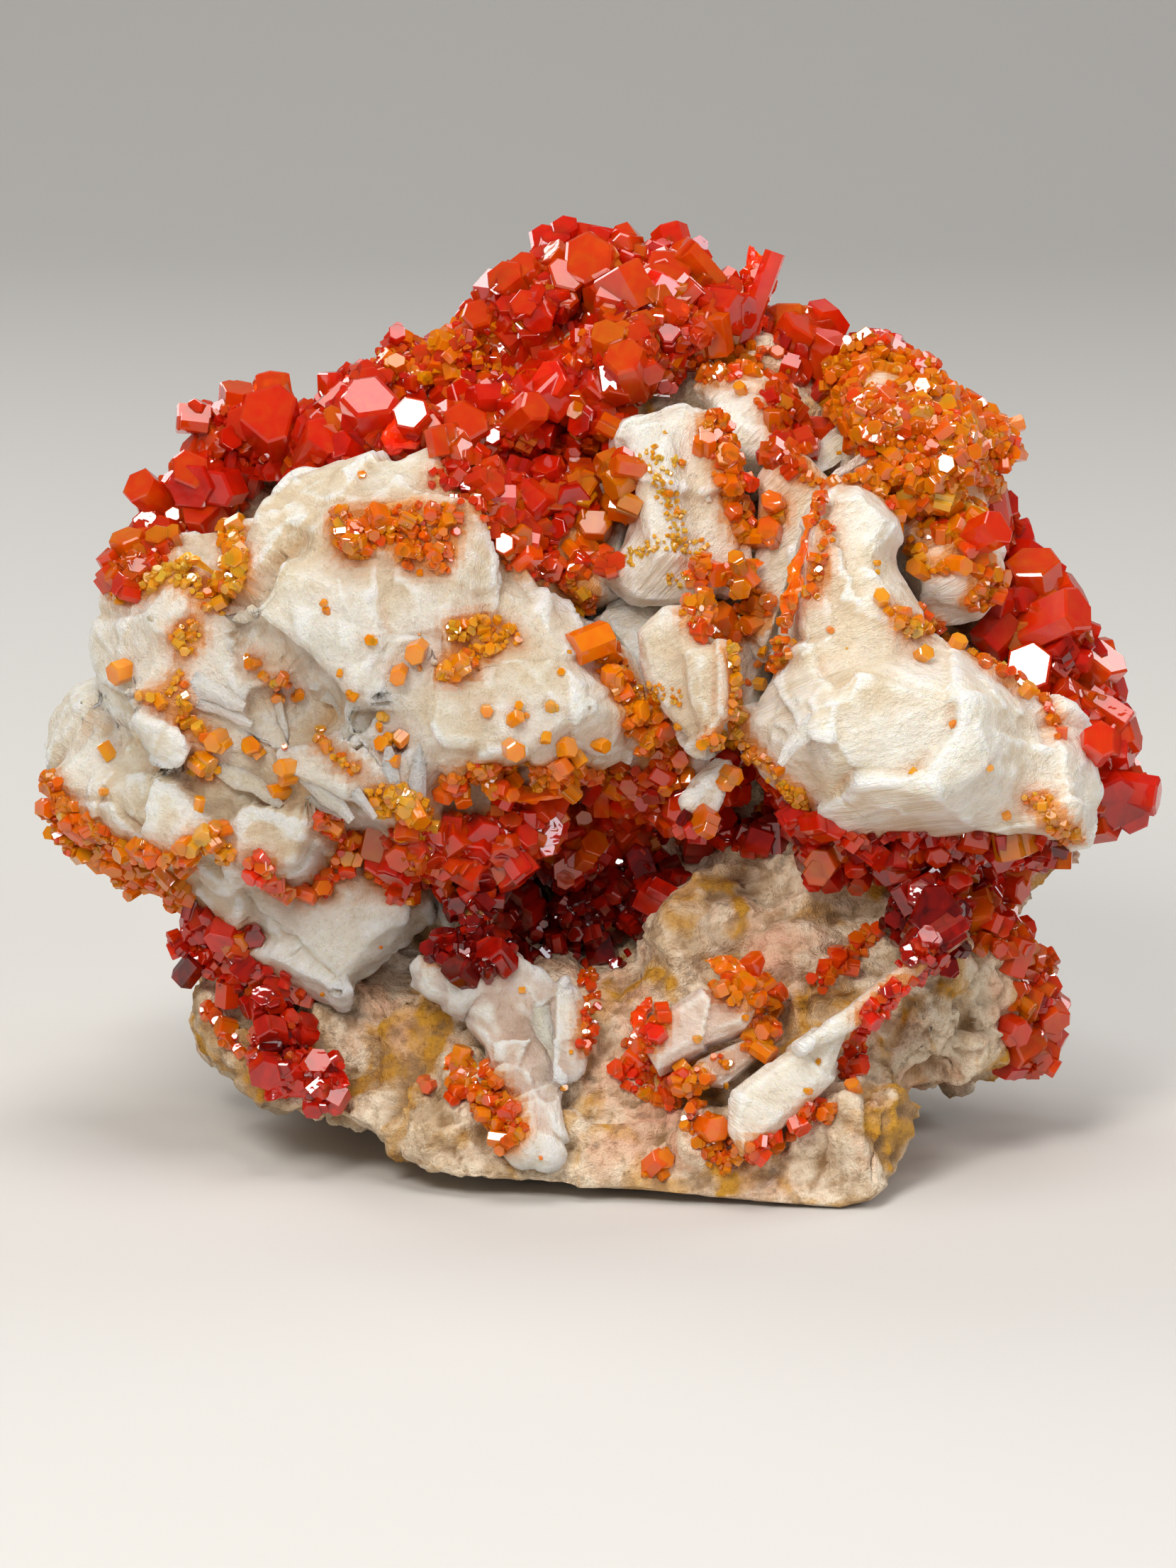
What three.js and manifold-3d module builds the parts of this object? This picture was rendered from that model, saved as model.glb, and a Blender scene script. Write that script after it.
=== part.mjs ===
// Vanadinite on barite and its host rock: a free-standing cabinet specimen.
//
// Shapes are drawn on the specimen's display face, in millimetres: x to the right,
// y up the face and z out of it, towards the viewer. The face leans back by LEAN_DEG
// from upright, and the whole group is turned by that, so the exported frame has
// +Z up, +Y to the back and the origin under the middle of the bounding box.

import * as THREE from "three";
import { ConvexGeometry } from "three/addons/geometries/ConvexGeometry.js";
import { mergeVertices } from "three/addons/utils/BufferGeometryUtils.js";
import Module from "manifold-3d";

const wasm = await Module();
wasm.setup();

// ---- Driving dimensions, mm ----
const LEAN_DEG = 12;
const GROUND = 2.3; // height of the cut underside above the display face's own foot
const GAP = 0.3; // room between pieces that grew against each other
const SLIVER = 0.05; // edges shorter than this are closed up after a cut
const SUNK = 0.35; // share of a crystal's length below the surface it grew on
const RAY_REACH = 80;
const GROUND_BLOCK = 120;

const tilt = new THREE.Matrix4().makeRotationX(Math.PI / 2 - THREE.MathUtils.degToRad(LEAN_DEG));
const untilt = tilt.clone().invert();

// ---- Materials ----
const materials = {
  rock: new THREE.MeshStandardMaterial({ color: "#b49a82", roughness: 0.95 }),
  barite: new THREE.MeshStandardMaterial({ color: "#e6e0d2", roughness: 0.5 }),
  red: new THREE.MeshStandardMaterial({ color: "#c4200a", roughness: 0.12 }),
  orange: new THREE.MeshStandardMaterial({ color: "#dd6a0c", roughness: 0.15 }),
};

// ---- Solids ----

// The same irregular numbers every time, from 0 to 1.
function irregular(seed) {
  let state = seed * 7919 + 13;
  return () => {
    state = (state * 1664525 + 1013904223) % 4294967296;
    return state / 4294967296;
  };
}

function solidOf(geometry) {
  const bare = geometry.index ? geometry.toNonIndexed() : geometry.clone();
  bare.deleteAttribute("normal");
  bare.deleteAttribute("uv");
  const merged = mergeVertices(bare, 1e-4);
  const corners = merged.index.array;
  const kept = [];
  for (let i = 0; i < corners.length; i += 3) {
    const [a, b, c] = corners.subarray(i, i + 3);
    if (a !== b && b !== c && c !== a) kept.push(a, b, c);
  }
  return new wasm.Manifold(
    new wasm.Mesh({
      numProp: 3,
      vertProperties: merged.attributes.position.array,
      triVerts: new Uint32Array(kept),
    }),
  );
}

function geometryOf(solid) {
  const mesh = solid.getMesh();
  const points = new Float32Array(mesh.numVert * 3);
  for (let i = 0; i < mesh.numVert; i++) {
    const start = i * mesh.numProp;
    points.set(mesh.vertProperties.subarray(start, start + 3), i * 3);
  }
  const geometry = new THREE.BufferGeometry();
  geometry.setAttribute("position", new THREE.BufferAttribute(points, 3));
  geometry.setIndex(new THREE.BufferAttribute(new Uint32Array(mesh.triVerts), 1));
  return geometry;
}

const joined = (solids) => solids.reduce((whole, next) => whole.add(next));
const largest = (solid) => solid.decompose().reduce((a, b) => (b.volume() > a.volume() ? b : a));

// The hull of a set of points, and the same hull with GAP more on every side.
function hullPair(points) {
  const room = GAP * 0.8;
  const signs = [-room, room];
  const spread = points.flatMap((p) =>
    signs.flatMap((x) =>
      signs.flatMap((y) => signs.map((z) => new THREE.Vector3(p.x + x, p.y + y, p.z + z))),
    ),
  );
  return { solid: solidOf(new ConvexGeometry(points)), grown: solidOf(new ConvexGeometry(spread)) };
}

const hull = (triples) => hullPair(triples.map((t) => new THREE.Vector3(...t)));

// A lump broken along flat faces: its outline at the rim, drawn in to a crown in front
// and to a smaller one behind. slope is how far the crown rises per mm of x and of y.
function lump(outline, shape) {
  const { rim, front, back, crown = 0.6, rear = 0.8, at, slope = [0, 0], rough = 0.5, seed = 1 } = shape;
  const next = irregular(seed);
  const uneven = () => (next() - 0.5) * 2 * rough;
  const [cx, cy] = at;
  const ring = (share, depth, sx, sy) =>
    outline.map(([x, y]) => {
      const [dx, dy] = [(x - cx) * share, (y - cy) * share];
      return new THREE.Vector3(cx + dx, cy + dy, depth + dx * sx + dy * sy + uneven());
    });
  const coarse = (points) => points.filter((_, i) => i % 2 === 0);
  const edge = ring(1, rim, 0, 0);
  const top = coarse(ring(crown, front, ...slope));
  const foot = coarse(ring(rear, back, 0, 0));
  return hullPair([...edge, ...top, ...foot]);
}

// A flat crystal blade: its outline cut from a plate, with a narrow bevel all round. lean
// turns it about x and about y, round the point pivot.
function blade(outline, { back, front, bevel = 0.35, lean = [0, 0], pivot = [0, 0, 0] }) {
  const make = (room) => {
    const plate = new THREE.ExtrudeGeometry(new THREE.Shape(outline.map((p) => new THREE.Vector2(...p))), {
      depth: front - back - 2 * bevel,
      bevelEnabled: true,
      bevelSegments: 1,
      bevelThickness: bevel + room,
      bevelSize: bevel,
      bevelOffset: room - bevel,
    });
    plate.translate(-pivot[0], -pivot[1], back + bevel - pivot[2]);
    plate.rotateX(THREE.MathUtils.degToRad(lean[0]));
    plate.rotateY(THREE.MathUtils.degToRad(lean[1]));
    plate.translate(...pivot);
    return solidOf(plate);
  };
  return { solid: make(0), grown: make(GAP) };
}

// A short six-sided prism standing at foot along axis, its far end chamfered where asked.
function prism({ foot, axis, radius, length, spin = 0, chamfer = 0 }) {
  const make = (room) => {
    const r = radius + room;
    const [low, high] = [-length * SUNK - room, length * (1 - SUNK) + room];
    const edge = chamfer ? [[r, high - chamfer], [r - chamfer, high]] : [[r, high]];
    const profile = [[0, low], [r, low], ...edge, [0, high]];
    const shape = new THREE.LatheGeometry(profile.map((p) => new THREE.Vector2(...p)), 6);
    shape.rotateY(spin);
    const up = new THREE.Vector3(0, 1, 0);
    shape.applyQuaternion(new THREE.Quaternion().setFromUnitVectors(up, axis.clone().normalize()));
    shape.translate(foot.x, foot.y, foot.z);
    return solidOf(shape);
  };
  return { solid: make(0), grown: make(GAP) };
}

const ground = new THREE.BoxGeometry(GROUND_BLOCK, GROUND_BLOCK, GROUND_BLOCK)
  .translate(0, 0, GROUND - GROUND_BLOCK / 2)
  .applyMatrix4(untilt);
const groundSolid = solidOf(ground);

const specimen = new THREE.Group();
const placed = []; // every finished piece, with its grown form, in the order of growth

// Joins the blocks of one piece, cuts it back from the ground and from every earlier
// piece, and puts it in the group.
function place(name, material, blocks) {
  const reach = joined(blocks.map((b) => b.solid));
  const box = reach.boundingBox();
  const near = placed.filter((p) =>
    [0, 1, 2].every((i) => p.box.min[i] - GAP < box.max[i] && p.box.max[i] + GAP > box.min[i]),
  );
  const cut = near.reduce((rest, p) => rest.subtract(p.grown), reach.subtract(groundSolid));
  const solid = largest(cut.simplify(SLIVER));
  const mesh = new THREE.Mesh(geometryOf(solid), material);
  mesh.name = name;
  specimen.add(mesh);
  placed.push({ name, mesh, box: solid.boundingBox(), grown: joined(blocks.map((b) => b.grown)) });
  return mesh;
}

// ---- Host rock: a broken lump with a flat underside, a foot that stands out in front
// and a hollow between the foot and the barite above it ----
const foot = hull([
  [-8.6, 2.3, 8.4], [-6.2, 1.4, 9.6], [-3, 2.2, 9.4], [0.2, 1.7, 9.8], [3.4, 1.2, 10.2], [6, 0.8, 10.6],
  [8.6, 0.2, 11.2], [10.6, 0, 11.4], [12.2, 0.3, 10.8], [13.2, 1.3, 9.8], [13.9, 4.4, 8.8], [-9, 4.6, 8],
  [-4, 6, 8.4], [2, 6.2, 8.8], [9, 5.6, 9.6], [-8, 9.6, 5], [1, 10.2, 4.6], [13, 9.4, 5], [-10, 3.5, -11],
  [12, 3.5, -11], [-10, 13, -10], [13, 13, -10],
]);
const footKnob = hull([
  [9.4, 0.2, 9.8], [10.8, -0.1, 11.2], [12.2, 0.6, 11.4], [13.4, 1.6, 9.6], [14, 4.3, 8.6], [13.2, 5.4, 9.6],
  [10.4, 4.6, 11.4], [12.8, 3.4, 11.3], [10, 2, 5], [13, 4, 5],
]);
const leftShoulder = hull([
  [-17.8, 11.4, 2.6], [-18.1, 8.4, 3.4], [-17.1, 7.2, 4], [-15.4, 5, 5], [-14, 4.2, 5.6], [-10.6, 4.2, 6.6],
  [-8.2, 3.2, 8], [-7.6, 8, 6.6], [-11.6, 10.6, 4.4], [-16.6, 12.6, 0], [-16.6, 6, -8], [-8, 3, -11],
  [-16.4, 14, -9], [-8, 14, -11],
]);
const rightShoulder = hull([
  [13.4, 6.3, 5.6], [15.4, 5.8, 5.4], [16.5, 5.3, 4.6], [18.4, 5.9, 3.4], [18.9, 7.5, 3.2], [18.4, 11.5, 4],
  [15.8, 11.7, 6.4], [13.4, 10.6, 7], [15, 7.2, 7.2], [18.2, 7.4, 4.8], [11.6, 4, -9], [17, 5.4, -7],
  [17.8, 12.4, -8], [11.6, 13.4, -10],
]);
const hollowWall = hull([
  [2.4, 9.4, 6], [9, 9, 7.4], [16, 9.8, 6], [3.6, 13.4, 4.4], [6, 15.6, 3.4], [11, 16.2, 4.4],
  [16.6, 14.6, 4], [2, 14, -2], [17, 16, -2], [10, 18, -2], [4, 9, -4], [16, 9, -4],
]);
const core = lump(
  [
    [-17, 12.4], [-20.6, 17], [-21.2, 22.5], [-20.4, 28], [-19, 31.8], [-16.8, 33.8], [-11.5, 36],
    [-5.8, 38.6], [-0.6, 41.2], [4.6, 41.4], [7.8, 38.8], [13.4, 34.6], [17.2, 30.4], [20.2, 26.4],
    [21.8, 23], [22.6, 19.8], [21.4, 16], [18.4, 10.8], [0, 9],
  ],
  {
    rim: -2.6, front: 0.6, back: -12.6, crown: 0.86, rear: 0.62, at: [0.6, 23], slope: [0, -0.03], rough: 0.9,
    seed: 5,
  },
);
const rearKnob = lump(
  [[-13, 10], [-15, 17], [-9.6, 25], [-1, 27], [5, 22], [6.4, 13], [0, 8]],
  { rim: -9.6, front: -6, back: -14.2, crown: 0.9, rear: 0.6, at: [-4, 16.5], rough: 0.8, seed: 8 },
);
const rearHeel = lump(
  [[-11, 4], [-12, 12], [-3, 15], [9, 14], [13, 9], [12, 3.6], [0, 3]],
  { rim: -9, front: -4, back: -13.4, crown: 0.9, rear: 0.7, at: [1, 8], rough: 0.7, seed: 12 },
);
place("matrix_rock", materials.rock, [
  foot, footKnob, leftShoulder, rightShoulder, hollowWall, core, rearKnob, rearHeel,
]);

// ---- Barite: the cleaved white masses and blades on the rock ----
place("barite_left_mass", materials.barite, [
  lump(
    [
      [-15.9, 26.7], [-14.6, 31.2], [-13.2, 32.4], [-10.4, 32.9], [-6.9, 33.8], [-5.2, 32.4], [-3.4, 28.6],
      [-2.2, 26.3], [-4.5, 23.2], [-8.9, 22.4], [-13.3, 23.8], [-15.6, 25.3],
    ],
    {
      rim: 10.2, front: 13, back: 1, crown: 0.58, rear: 0.9, at: [-9.6, 27.6], slope: [0.02, -0.14], seed: 21,
    },
  ),
  lump(
    [
      [-9.6, 25.3], [-4.4, 26.8], [0.1, 26.1], [2, 24.1], [2.7, 21.8], [1.2, 19.7], [-2.6, 18.6],
      [-6.4, 18.9], [-9.2, 19.5], [-11, 22.2],
    ],
    { rim: 8.8, front: 13.2, back: 1, crown: 0.56, at: [-4.2, 22.6], slope: [-0.06, -0.05], seed: 22 },
  ),
  lump(
    [
      [-22, 26.9], [-21.2, 28.5], [-19.2, 29.6], [-16, 30.4], [-15, 26.6], [-12.4, 25], [-11.2, 22.4],
      [-14, 20.2], [-17.8, 20.4], [-21.6, 22.8],
    ],
    { rim: 6.4, front: 10.6, back: 0.5, crown: 0.55, at: [-16.6, 25], slope: [0.14, 0], seed: 23 },
  ),
  lump(
    [
      [-24.7, 19], [-22.8, 21.4], [-19, 22.4], [-14, 20.6], [-10, 18], [-8.7, 15.8], [-11.4, 13.4],
      [-16.2, 12.9], [-19, 14], [-21.2, 15.6], [-23.9, 17],
    ],
    { rim: 5, front: 10, back: -1, crown: 0.52, at: [-16, 17.6], slope: [0.13, -0.05], seed: 24 },
  ),
  lump(
    [[-24.8, 19.4], [-24.6, 21.8], [-23.2, 23], [-21, 23.6], [-19.6, 21], [-21.4, 18.4]],
    { rim: 2.4, front: 5, back: -2.4, crown: 0.6, at: [-22.4, 21], slope: [0.1, 0], seed: 25 },
  ),
  lump(
    [[-11.8, 22.4], [-9, 20], [-6.6, 17], [-8.2, 15.8], [-10.8, 17.4], [-12.8, 20.6]],
    { rim: 9.6, front: 12, back: 6, crown: 0.5, at: [-9.8, 19.2], slope: [0.1, -0.1], rough: 0.3, seed: 26 },
  ),
  lump(
    [[-18, 14.2], [-8.9, 15.8], [-7.2, 13.4], [-9.7, 11], [-11.2, 8.6], [-14, 10.4], [-16.4, 12.4]],
    {
      rim: 5.6, front: 7.4, back: 1, crown: 0.6, rear: 0.55, at: [-12, 12.8], slope: [0, -0.1], rough: 0.2,
      seed: 27,
    },
  ),
  lump(
    [[-15.6, 24.8], [-12, 24.6], [-9.2, 22.2], [-8.8, 18.4], [-12, 17.6], [-15.2, 20.4]],
    {
      rim: 7.4, front: 9.2, back: 1, crown: 0.8, at: [-12.2, 21.2], slope: [0, -0.05], rough: 0.2, seed: 29,
    },
  ),
  lump(
    [[-9.4, 19.6], [-3, 19.2], [-2.4, 17], [-4.6, 15.2], [-8.8, 15.4]],
    { rim: 6.6, front: 8.2, back: 1, crown: 0.7, at: [-6, 17.4], rough: 0.3, seed: 28 },
  ),
  blade([[-20.9, 22.8], [-19, 23.6], [-16.4, 22.6], [-14.4, 20.4], [-16.4, 19.6], [-19.4, 20.4]], {
    back: 9.4, front: 10.9, lean: [-6, 14], pivot: [-17.4, 21.4, 10],
  }),
  blade([[-14.8, 21], [-12, 20.6], [-10.2, 18.6], [-11, 18], [-13.6, 18.7], [-14.6, 19.6]], {
    back: 10.4, front: 11.7, lean: [-14, -8], pivot: [-12.6, 19.6, 11],
  }),
  blade([[-13.8, 28.6], [-11.4, 28], [-8.9, 24.4], [-9.4, 22.6], [-12, 24.2], [-15.3, 26.4]], {
    back: 11.8, front: 13.3, lean: [6, 4], pivot: [-12, 26, 12.4],
  }),
]);
place("barite_right_mass", materials.barite, [
  lump(
    [
      [10, 31.6], [10.7, 32.2], [11.8, 32.3], [12.7, 31.7], [13.4, 30.6], [13.6, 29.6], [12.4, 28.5],
      [9.6, 27.6], [9.4, 29.5],
    ],
    {
      rim: 8.4, front: 11.2, back: 3, crown: 0.76, at: [11.2, 30], slope: [0.12, -0.12], rough: 0.2, seed: 31,
    },
  ),
  lump(
    [
      [9.7, 31], [12.2, 30.4], [12.5, 28.9], [13.7, 27], [14.9, 25.2], [13, 23.2], [8.4, 23.4], [7.8, 24.7],
      [8.5, 26.6],
    ],
    {
      rim: 8.6, front: 11.8, back: 3, crown: 0.7, at: [11, 27], slope: [0.14, -0.06], rough: 0.25, seed: 32,
    },
  ),
  lump(
    [
      [6.5, 21.5], [8.1, 24.1], [10.4, 25.4], [14.9, 25.6], [18.6, 23.4], [20.2, 21.8], [19.9, 18.6],
      [18.8, 16.4], [15.3, 16.8], [9.9, 16.7], [8, 18.8],
    ],
    { rim: 9, front: 14, back: 2, crown: 0.56, at: [13.4, 20.9], slope: [-0.05, 0.04], seed: 33 },
  ),
  lump(
    [[17.4, 23.6], [19.6, 22.9], [22, 20.8], [22.6, 18.4], [22, 16.1], [19.8, 15.8], [17, 16.4]],
    { rim: 6.6, front: 10.4, back: 2, crown: 0.6, at: [19.6, 19.4], slope: [-0.2, 0], rough: 0.4, seed: 34 },
  ),
]);
place("barite_centre_blade", materials.barite, [
  blade(
    [
      [1.4, 35], [3.9, 35.7], [5.3, 35], [6, 32.9], [6.1, 31.4], [6.6, 29.8], [6.4, 28.2], [4.6, 26.8],
      [1.6, 27], [0.6, 28.2], [1.6, 29.6], [2, 31.8], [1, 34.2],
    ],
    { back: 4.2, front: 7.6, bevel: 0.6, lean: [-7, 5], pivot: [3.6, 31, 6] },
  ),
  blade([[1.4, 33.6], [3.3, 34.3], [4, 31.2], [4.1, 28.6], [2.4, 28], [2, 30.6]], {
    back: 6.6, front: 8.6, bevel: 0.5, lean: [-7, -8], pivot: [3, 31, 7.4],
  }),
]);
place("barite_cream_slab", materials.barite, [
  lump([[-5, 32.6], [1.4, 32.2], [1.6, 27], [-2, 26], [-5.6, 28]], {
    rim: 3.6, front: 5.6, back: 0, crown: 0.8, at: [-2, 29.4], slope: [0.1, -0.1], rough: 0.3, seed: 41,
  }),
]);
place("barite_centre_bed", materials.barite, [
  lump([[-0.6, 27], [3, 28.2], [7.2, 26.8], [7.8, 23], [6.4, 19.4], [3.4, 17.6], [0.2, 18.4], [-1.4, 22]], {
    rim: 3.6, front: 6.6, back: -0.5, crown: 0.7, at: [3.4, 23], slope: [0, -0.05], rough: 0.4, seed: 45,
  }),
]);
place("barite_hook_blade", materials.barite, [
  blade(
    [
      [1.9, 25.6], [3.2, 26.7], [4.8, 26.7], [4.9, 25.2], [5.7, 25], [5.7, 22.6], [5.3, 20.7], [4.9, 20],
      [4.3, 20.2], [3, 22.1], [2.2, 23.2],
    ],
    { back: 8.6, front: 11.6, bevel: 0.5, lean: [4, -10], pivot: [4, 23.4, 10] },
  ),
  blade([[3.8, 24.8], [5.7, 25], [5.8, 22.6], [5.4, 20.6], [4.6, 20.4], [4, 22.4]], {
    back: 10.6, front: 12.6, bevel: 0.5, lean: [4, 8], pivot: [4.9, 22.8, 11.6],
  }),
]);
place("barite_tall_blade", materials.barite, [
  blade(
    [
      [8.2, 33.7], [7.3, 32.5], [7.4, 31], [7.2, 28.5], [6.9, 25.3], [7.6, 24.4], [9, 26.6], [10.4, 30.6],
      [10.8, 32], [9.4, 33.6],
    ],
    { back: 4.2, front: 6.8, bevel: 0.4, lean: [-5, -6], pivot: [8.6, 29, 5.6] },
  ),
]);
place("barite_back_blade", materials.barite, [
  lump([[4.5, 36.8], [5.8, 37.6], [7.6, 37.1], [8.6, 35.4], [9.8, 32.2], [6.9, 31.4], [5.4, 33.4]], {
    rim: 2, front: 4, back: -2, crown: 0.6, at: [7, 34.6], slope: [0, -0.2], rough: 0.3, seed: 42,
  }),
]);
place("barite_dome_core", materials.barite, [
  lump(
    [
      [11.1, 36.8], [12.8, 37.8], [14.8, 36.9], [17, 35.1], [18, 33.4], [17.8, 31.6], [15.4, 30.5],
      [13, 30.9], [11, 32.3], [10.6, 34.8],
    ],
    { rim: 1, front: 6, back: -5, crown: 0.55, at: [14, 34], slope: [0, -0.1], rough: 0.4, seed: 43 },
  ),
  lump([[13.4, 28.4], [13.6, 30.8], [17.3, 31.2], [18.6, 28.4], [17.4, 26.2], [14.8, 25.9]], {
    rim: 3.4, front: 5.6, back: -1, crown: 0.65, at: [16, 28.6], slope: [-0.1, 0], rough: 0.3, seed: 44,
  }),
]);
place("barite_lower_blade", materials.barite, [
  blade(
    [
      [-8.2, 10.8], [-7.9, 11.5], [-3.6, 11.2], [-1.2, 10.1], [-0.8, 8.6], [-0.7, 6.3], [-1.5, 4.5],
      [-2.1, 2.3], [-3.2, 2.6], [-3.6, 4.3], [-4.5, 5.7], [-4.6, 7.4], [-5.3, 9.2], [-7.2, 9.9],
    ],
    { back: 8.2, front: 10, bevel: 0.35, lean: [-15, 3], pivot: [-3.4, 5, 9.6] },
  ),
]);
place("barite_square_slab", materials.barite, [
  blade([[2, 7.3], [3.1, 8.5], [4.6, 9.4], [6.6, 10], [7.2, 8.8], [6.7, 7.8], [4.8, 7], [2.8, 5.8]], {
    back: 9.3, front: 11.3, bevel: 0.35, lean: [-16, -6], pivot: [4.6, 7.6, 10.2],
  }),
]);
place("barite_under_slab", materials.barite, [
  blade([[3.6, 5.4], [4.5, 6.4], [7.4, 8.2], [8.3, 7.5], [5.6, 5.2]], {
    back: 9.4, front: 10.8, bevel: 0.3, lean: [-14, 6], pivot: [6, 6.6, 10],
  }),
]);
place("barite_lath", materials.barite, [
  blade([[14.9, 11.8], [15.3, 11.4], [13, 9.1], [11.2, 7.9], [8.8, 6.8], [8.6, 7.2], [11, 8.8]], {
    back: 9.6, front: 12.2, bevel: 0.18, lean: [-8, 12], pivot: [11, 8.6, 11],
  }),
  blade([[11.4, 8.6], [10.4, 5.8], [8.8, 4.1], [6.4, 2.2], [5.9, 3.4], [6, 5.1], [8, 6.6], [9.6, 7.6]], {
    back: 9.8, front: 12, bevel: 0.4, lean: [-8, 0], pivot: [8.4, 5, 11],
  }),
]);
place("barite_fins", materials.barite, [
  hull([[-7.6, 14.4, 6.2], [-7, 14.6, 7.4], [-6.3, 12.2, 7.6], [-6.8, 12, 7.1], [-6.6, 14.2, 5]]),
  hull([
    [-6.8, 14.8, 6.8], [-4.8, 14.8, 7], [-4.9, 13.2, 7.6], [-5.6, 12.2, 8.4], [-6.1, 12.6, 8.2],
    [-6, 14.6, 5],
  ]),
  hull([
    [-5.9, 14, 6.6], [-4.6, 14, 6], [-4.8, 12.6, 6.6], [-5.2, 11.2, 7], [-5.7, 12, 6.6], [-5.4, 14, 4.6],
  ]),
]);
place("barite_chip", materials.barite, [
  hull([
    [3.8, 18.4, 8.4], [5.4, 19.9, 8.8], [6, 19.7, 9.4], [5.2, 17.6, 9.6], [4.4, 16.7, 9], [4, 18, 9.8],
    [5, 18.6, 6.4],
  ]),
]);
place("barite_rear_mass", materials.barite, [
  lump([[6, 36], [14, 31], [17.6, 24], [15, 18], [9, 17], [5.6, 24], [3.6, 31]], {
    rim: -10, front: -5, back: -14, crown: 0.85, rear: 0.6, at: [10.6, 26], rough: 0.6, seed: 47,
  }),
  blade([[4.4, 30], [10, 33], [14, 26], [11, 22], [6, 24]], {
    back: -15.4, front: -13, bevel: 0.4, lean: [12, 14], pivot: [9, 27, -14],
  }),
]);

// ---- Vanadinite: stout prisms grown on the barite and the rock ----

// Where a crystal aimed at a point of the display face meets what is already there: seen from
// direction from, the outermost surface on the line through at.
const hosts = [...placed];
const ray = new THREE.Raycaster();
hosts.forEach((h) => h.mesh.updateMatrixWorld(true));
function landing(at, from) {
  const way = from.clone().normalize();
  ray.set(at.clone().addScaledVector(way, RAY_REACH), way.clone().negate());
  const [hit] = ray.intersectObjects(hosts.map((h) => h.mesh), false);
  return hit ? { foot: hit.point, normal: hit.face.normal.clone() } : { foot: at.clone(), normal: way };
}

const FROM = {
  front: new THREE.Vector3(0, 0, 1),
  top: new THREE.Vector3(0, 0.8, 0.6),
  crest: new THREE.Vector3(0, 1, 0.1),
  right: new THREE.Vector3(1, 0.15, 0.3),
  lowLeft: new THREE.Vector3(-0.8, -0.5, 0.5),
  under: new THREE.Vector3(0, -0.7, 0.7),
  rear: new THREE.Vector3(0, 0.35, -1),
};

// A run of crystals along path, close enough to have grown into one another, each standing
// on the surface seen from side. radius and stout, the length over the radius, are ranges;
// spread is how far they stray from the path, fan how far they lean out, and stack lifts some
// of them onto their neighbours. own holds the crystals large enough to be set one by one,
// on the surface seen from side or, where it is given, from seen.
function druse(name, material, options) {
  const { path, side = "front", radius, stout = [1.4, 2.2], seed } = options;
  const { spread = 0.3, fan = 0.5, stack = 0.4 } = options;
  const { closeness = 1.3, own = [] } = options;
  const next = irregular(seed);
  const between = ([low, high]) => low + (high - low) * next();
  const half = () => next() - 0.5;
  const stray = (size) => new THREE.Vector3(half(), half(), half()).multiplyScalar(2 * size);
  const points = path.map(([x, y, z = 0]) => new THREE.Vector3(x, y, z));
  const line = new THREE.CatmullRomCurve3(points, false, "chordal");
  const count = Math.max(2, Math.round(line.getLength() / (closeness * 0.5 * (radius[0] + radius[1]))));
  const from = FROM[side];
  const run = line.getSpacedPoints(count - 1).map((at) => {
    const { foot, normal } = landing(at.add(stray(spread)), from);
    const size = between(radius);
    foot.addScaledVector(normal, stack * next() * size);
    const axis = normal.lerp(from.clone().normalize(), 0.5).add(stray(fan));
    return prism({ foot, axis, radius: size, length: size * between(stout), spin: next() * Math.PI });
  });
  const chosen = own.map(({ at, axis, r, long, spin = 0, lift = 0, seen = side }) => {
    const { foot, normal } = landing(new THREE.Vector3(...at), FROM[seen]);
    foot.addScaledVector(normal, lift);
    const along = new THREE.Vector3(...axis);
    return prism({ foot, axis: along, radius: r, length: long, spin, chamfer: r * 0.14 });
  });
  place(name, material, [...run, ...chosen]);
}

// Along the ridge, from the left end over the peak to the right shoulder.
druse("vanadinite_ridge_left", materials.red, {
  path: [[-20.2, 31.2, 0], [-19.6, 32.8, 0], [-18.2, 34, 1], [-15.8, 35.2, 0]],
  side: "top", radius: [1.1, 1.5], spread: 0.2, seed: 3,
  own: [
    { at: [-14.6, 33.2, 6], axis: [-0.2, 0.5, 0.8], r: 1.9, long: 3.4, spin: 0.3, lift: 0.5 },
    { at: [-16.4, 35.6, 0], axis: [-0.4, 1, 0.2], r: 1.5, long: 3.2, spin: 0.2, lift: 0.5 },
    { at: [-14, 36, 1], axis: [0.2, 1, 0.3], r: 1.6, long: 3.2, spin: 0.6, lift: 0.6 },
  ],
});
druse("vanadinite_ridge_middle", materials.red, {
  path: [[-12.4, 34.4, 4], [-10, 36, 3], [-7.6, 35.6, 4], [-5.4, 35.4, 4]],
  side: "top", radius: [1.2, 1.6], spread: 0.4, closeness: 1.2, seed: 4,
  own: [
    { at: [-10.8, 35.2, 4.6], axis: [-0.1, 0.6, 0.8], r: 1.8, long: 3.6, spin: 0.1, lift: 0.8 },
    { at: [-8.4, 35.2, 6], axis: [0.05, 0.35, 0.95], r: 1.3, long: 3, spin: 0.5, lift: 0.8 },
  ],
});
druse("vanadinite_ridge_rear", materials.red, {
  path: [[-10.4, 37.4, 0], [-8, 38.4, 0], [-6, 39.2, 0], [-4, 40, -1]],
  side: "top", radius: [1.1, 1.6], spread: 0.4, fan: 0.6, seed: 6,
});
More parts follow.
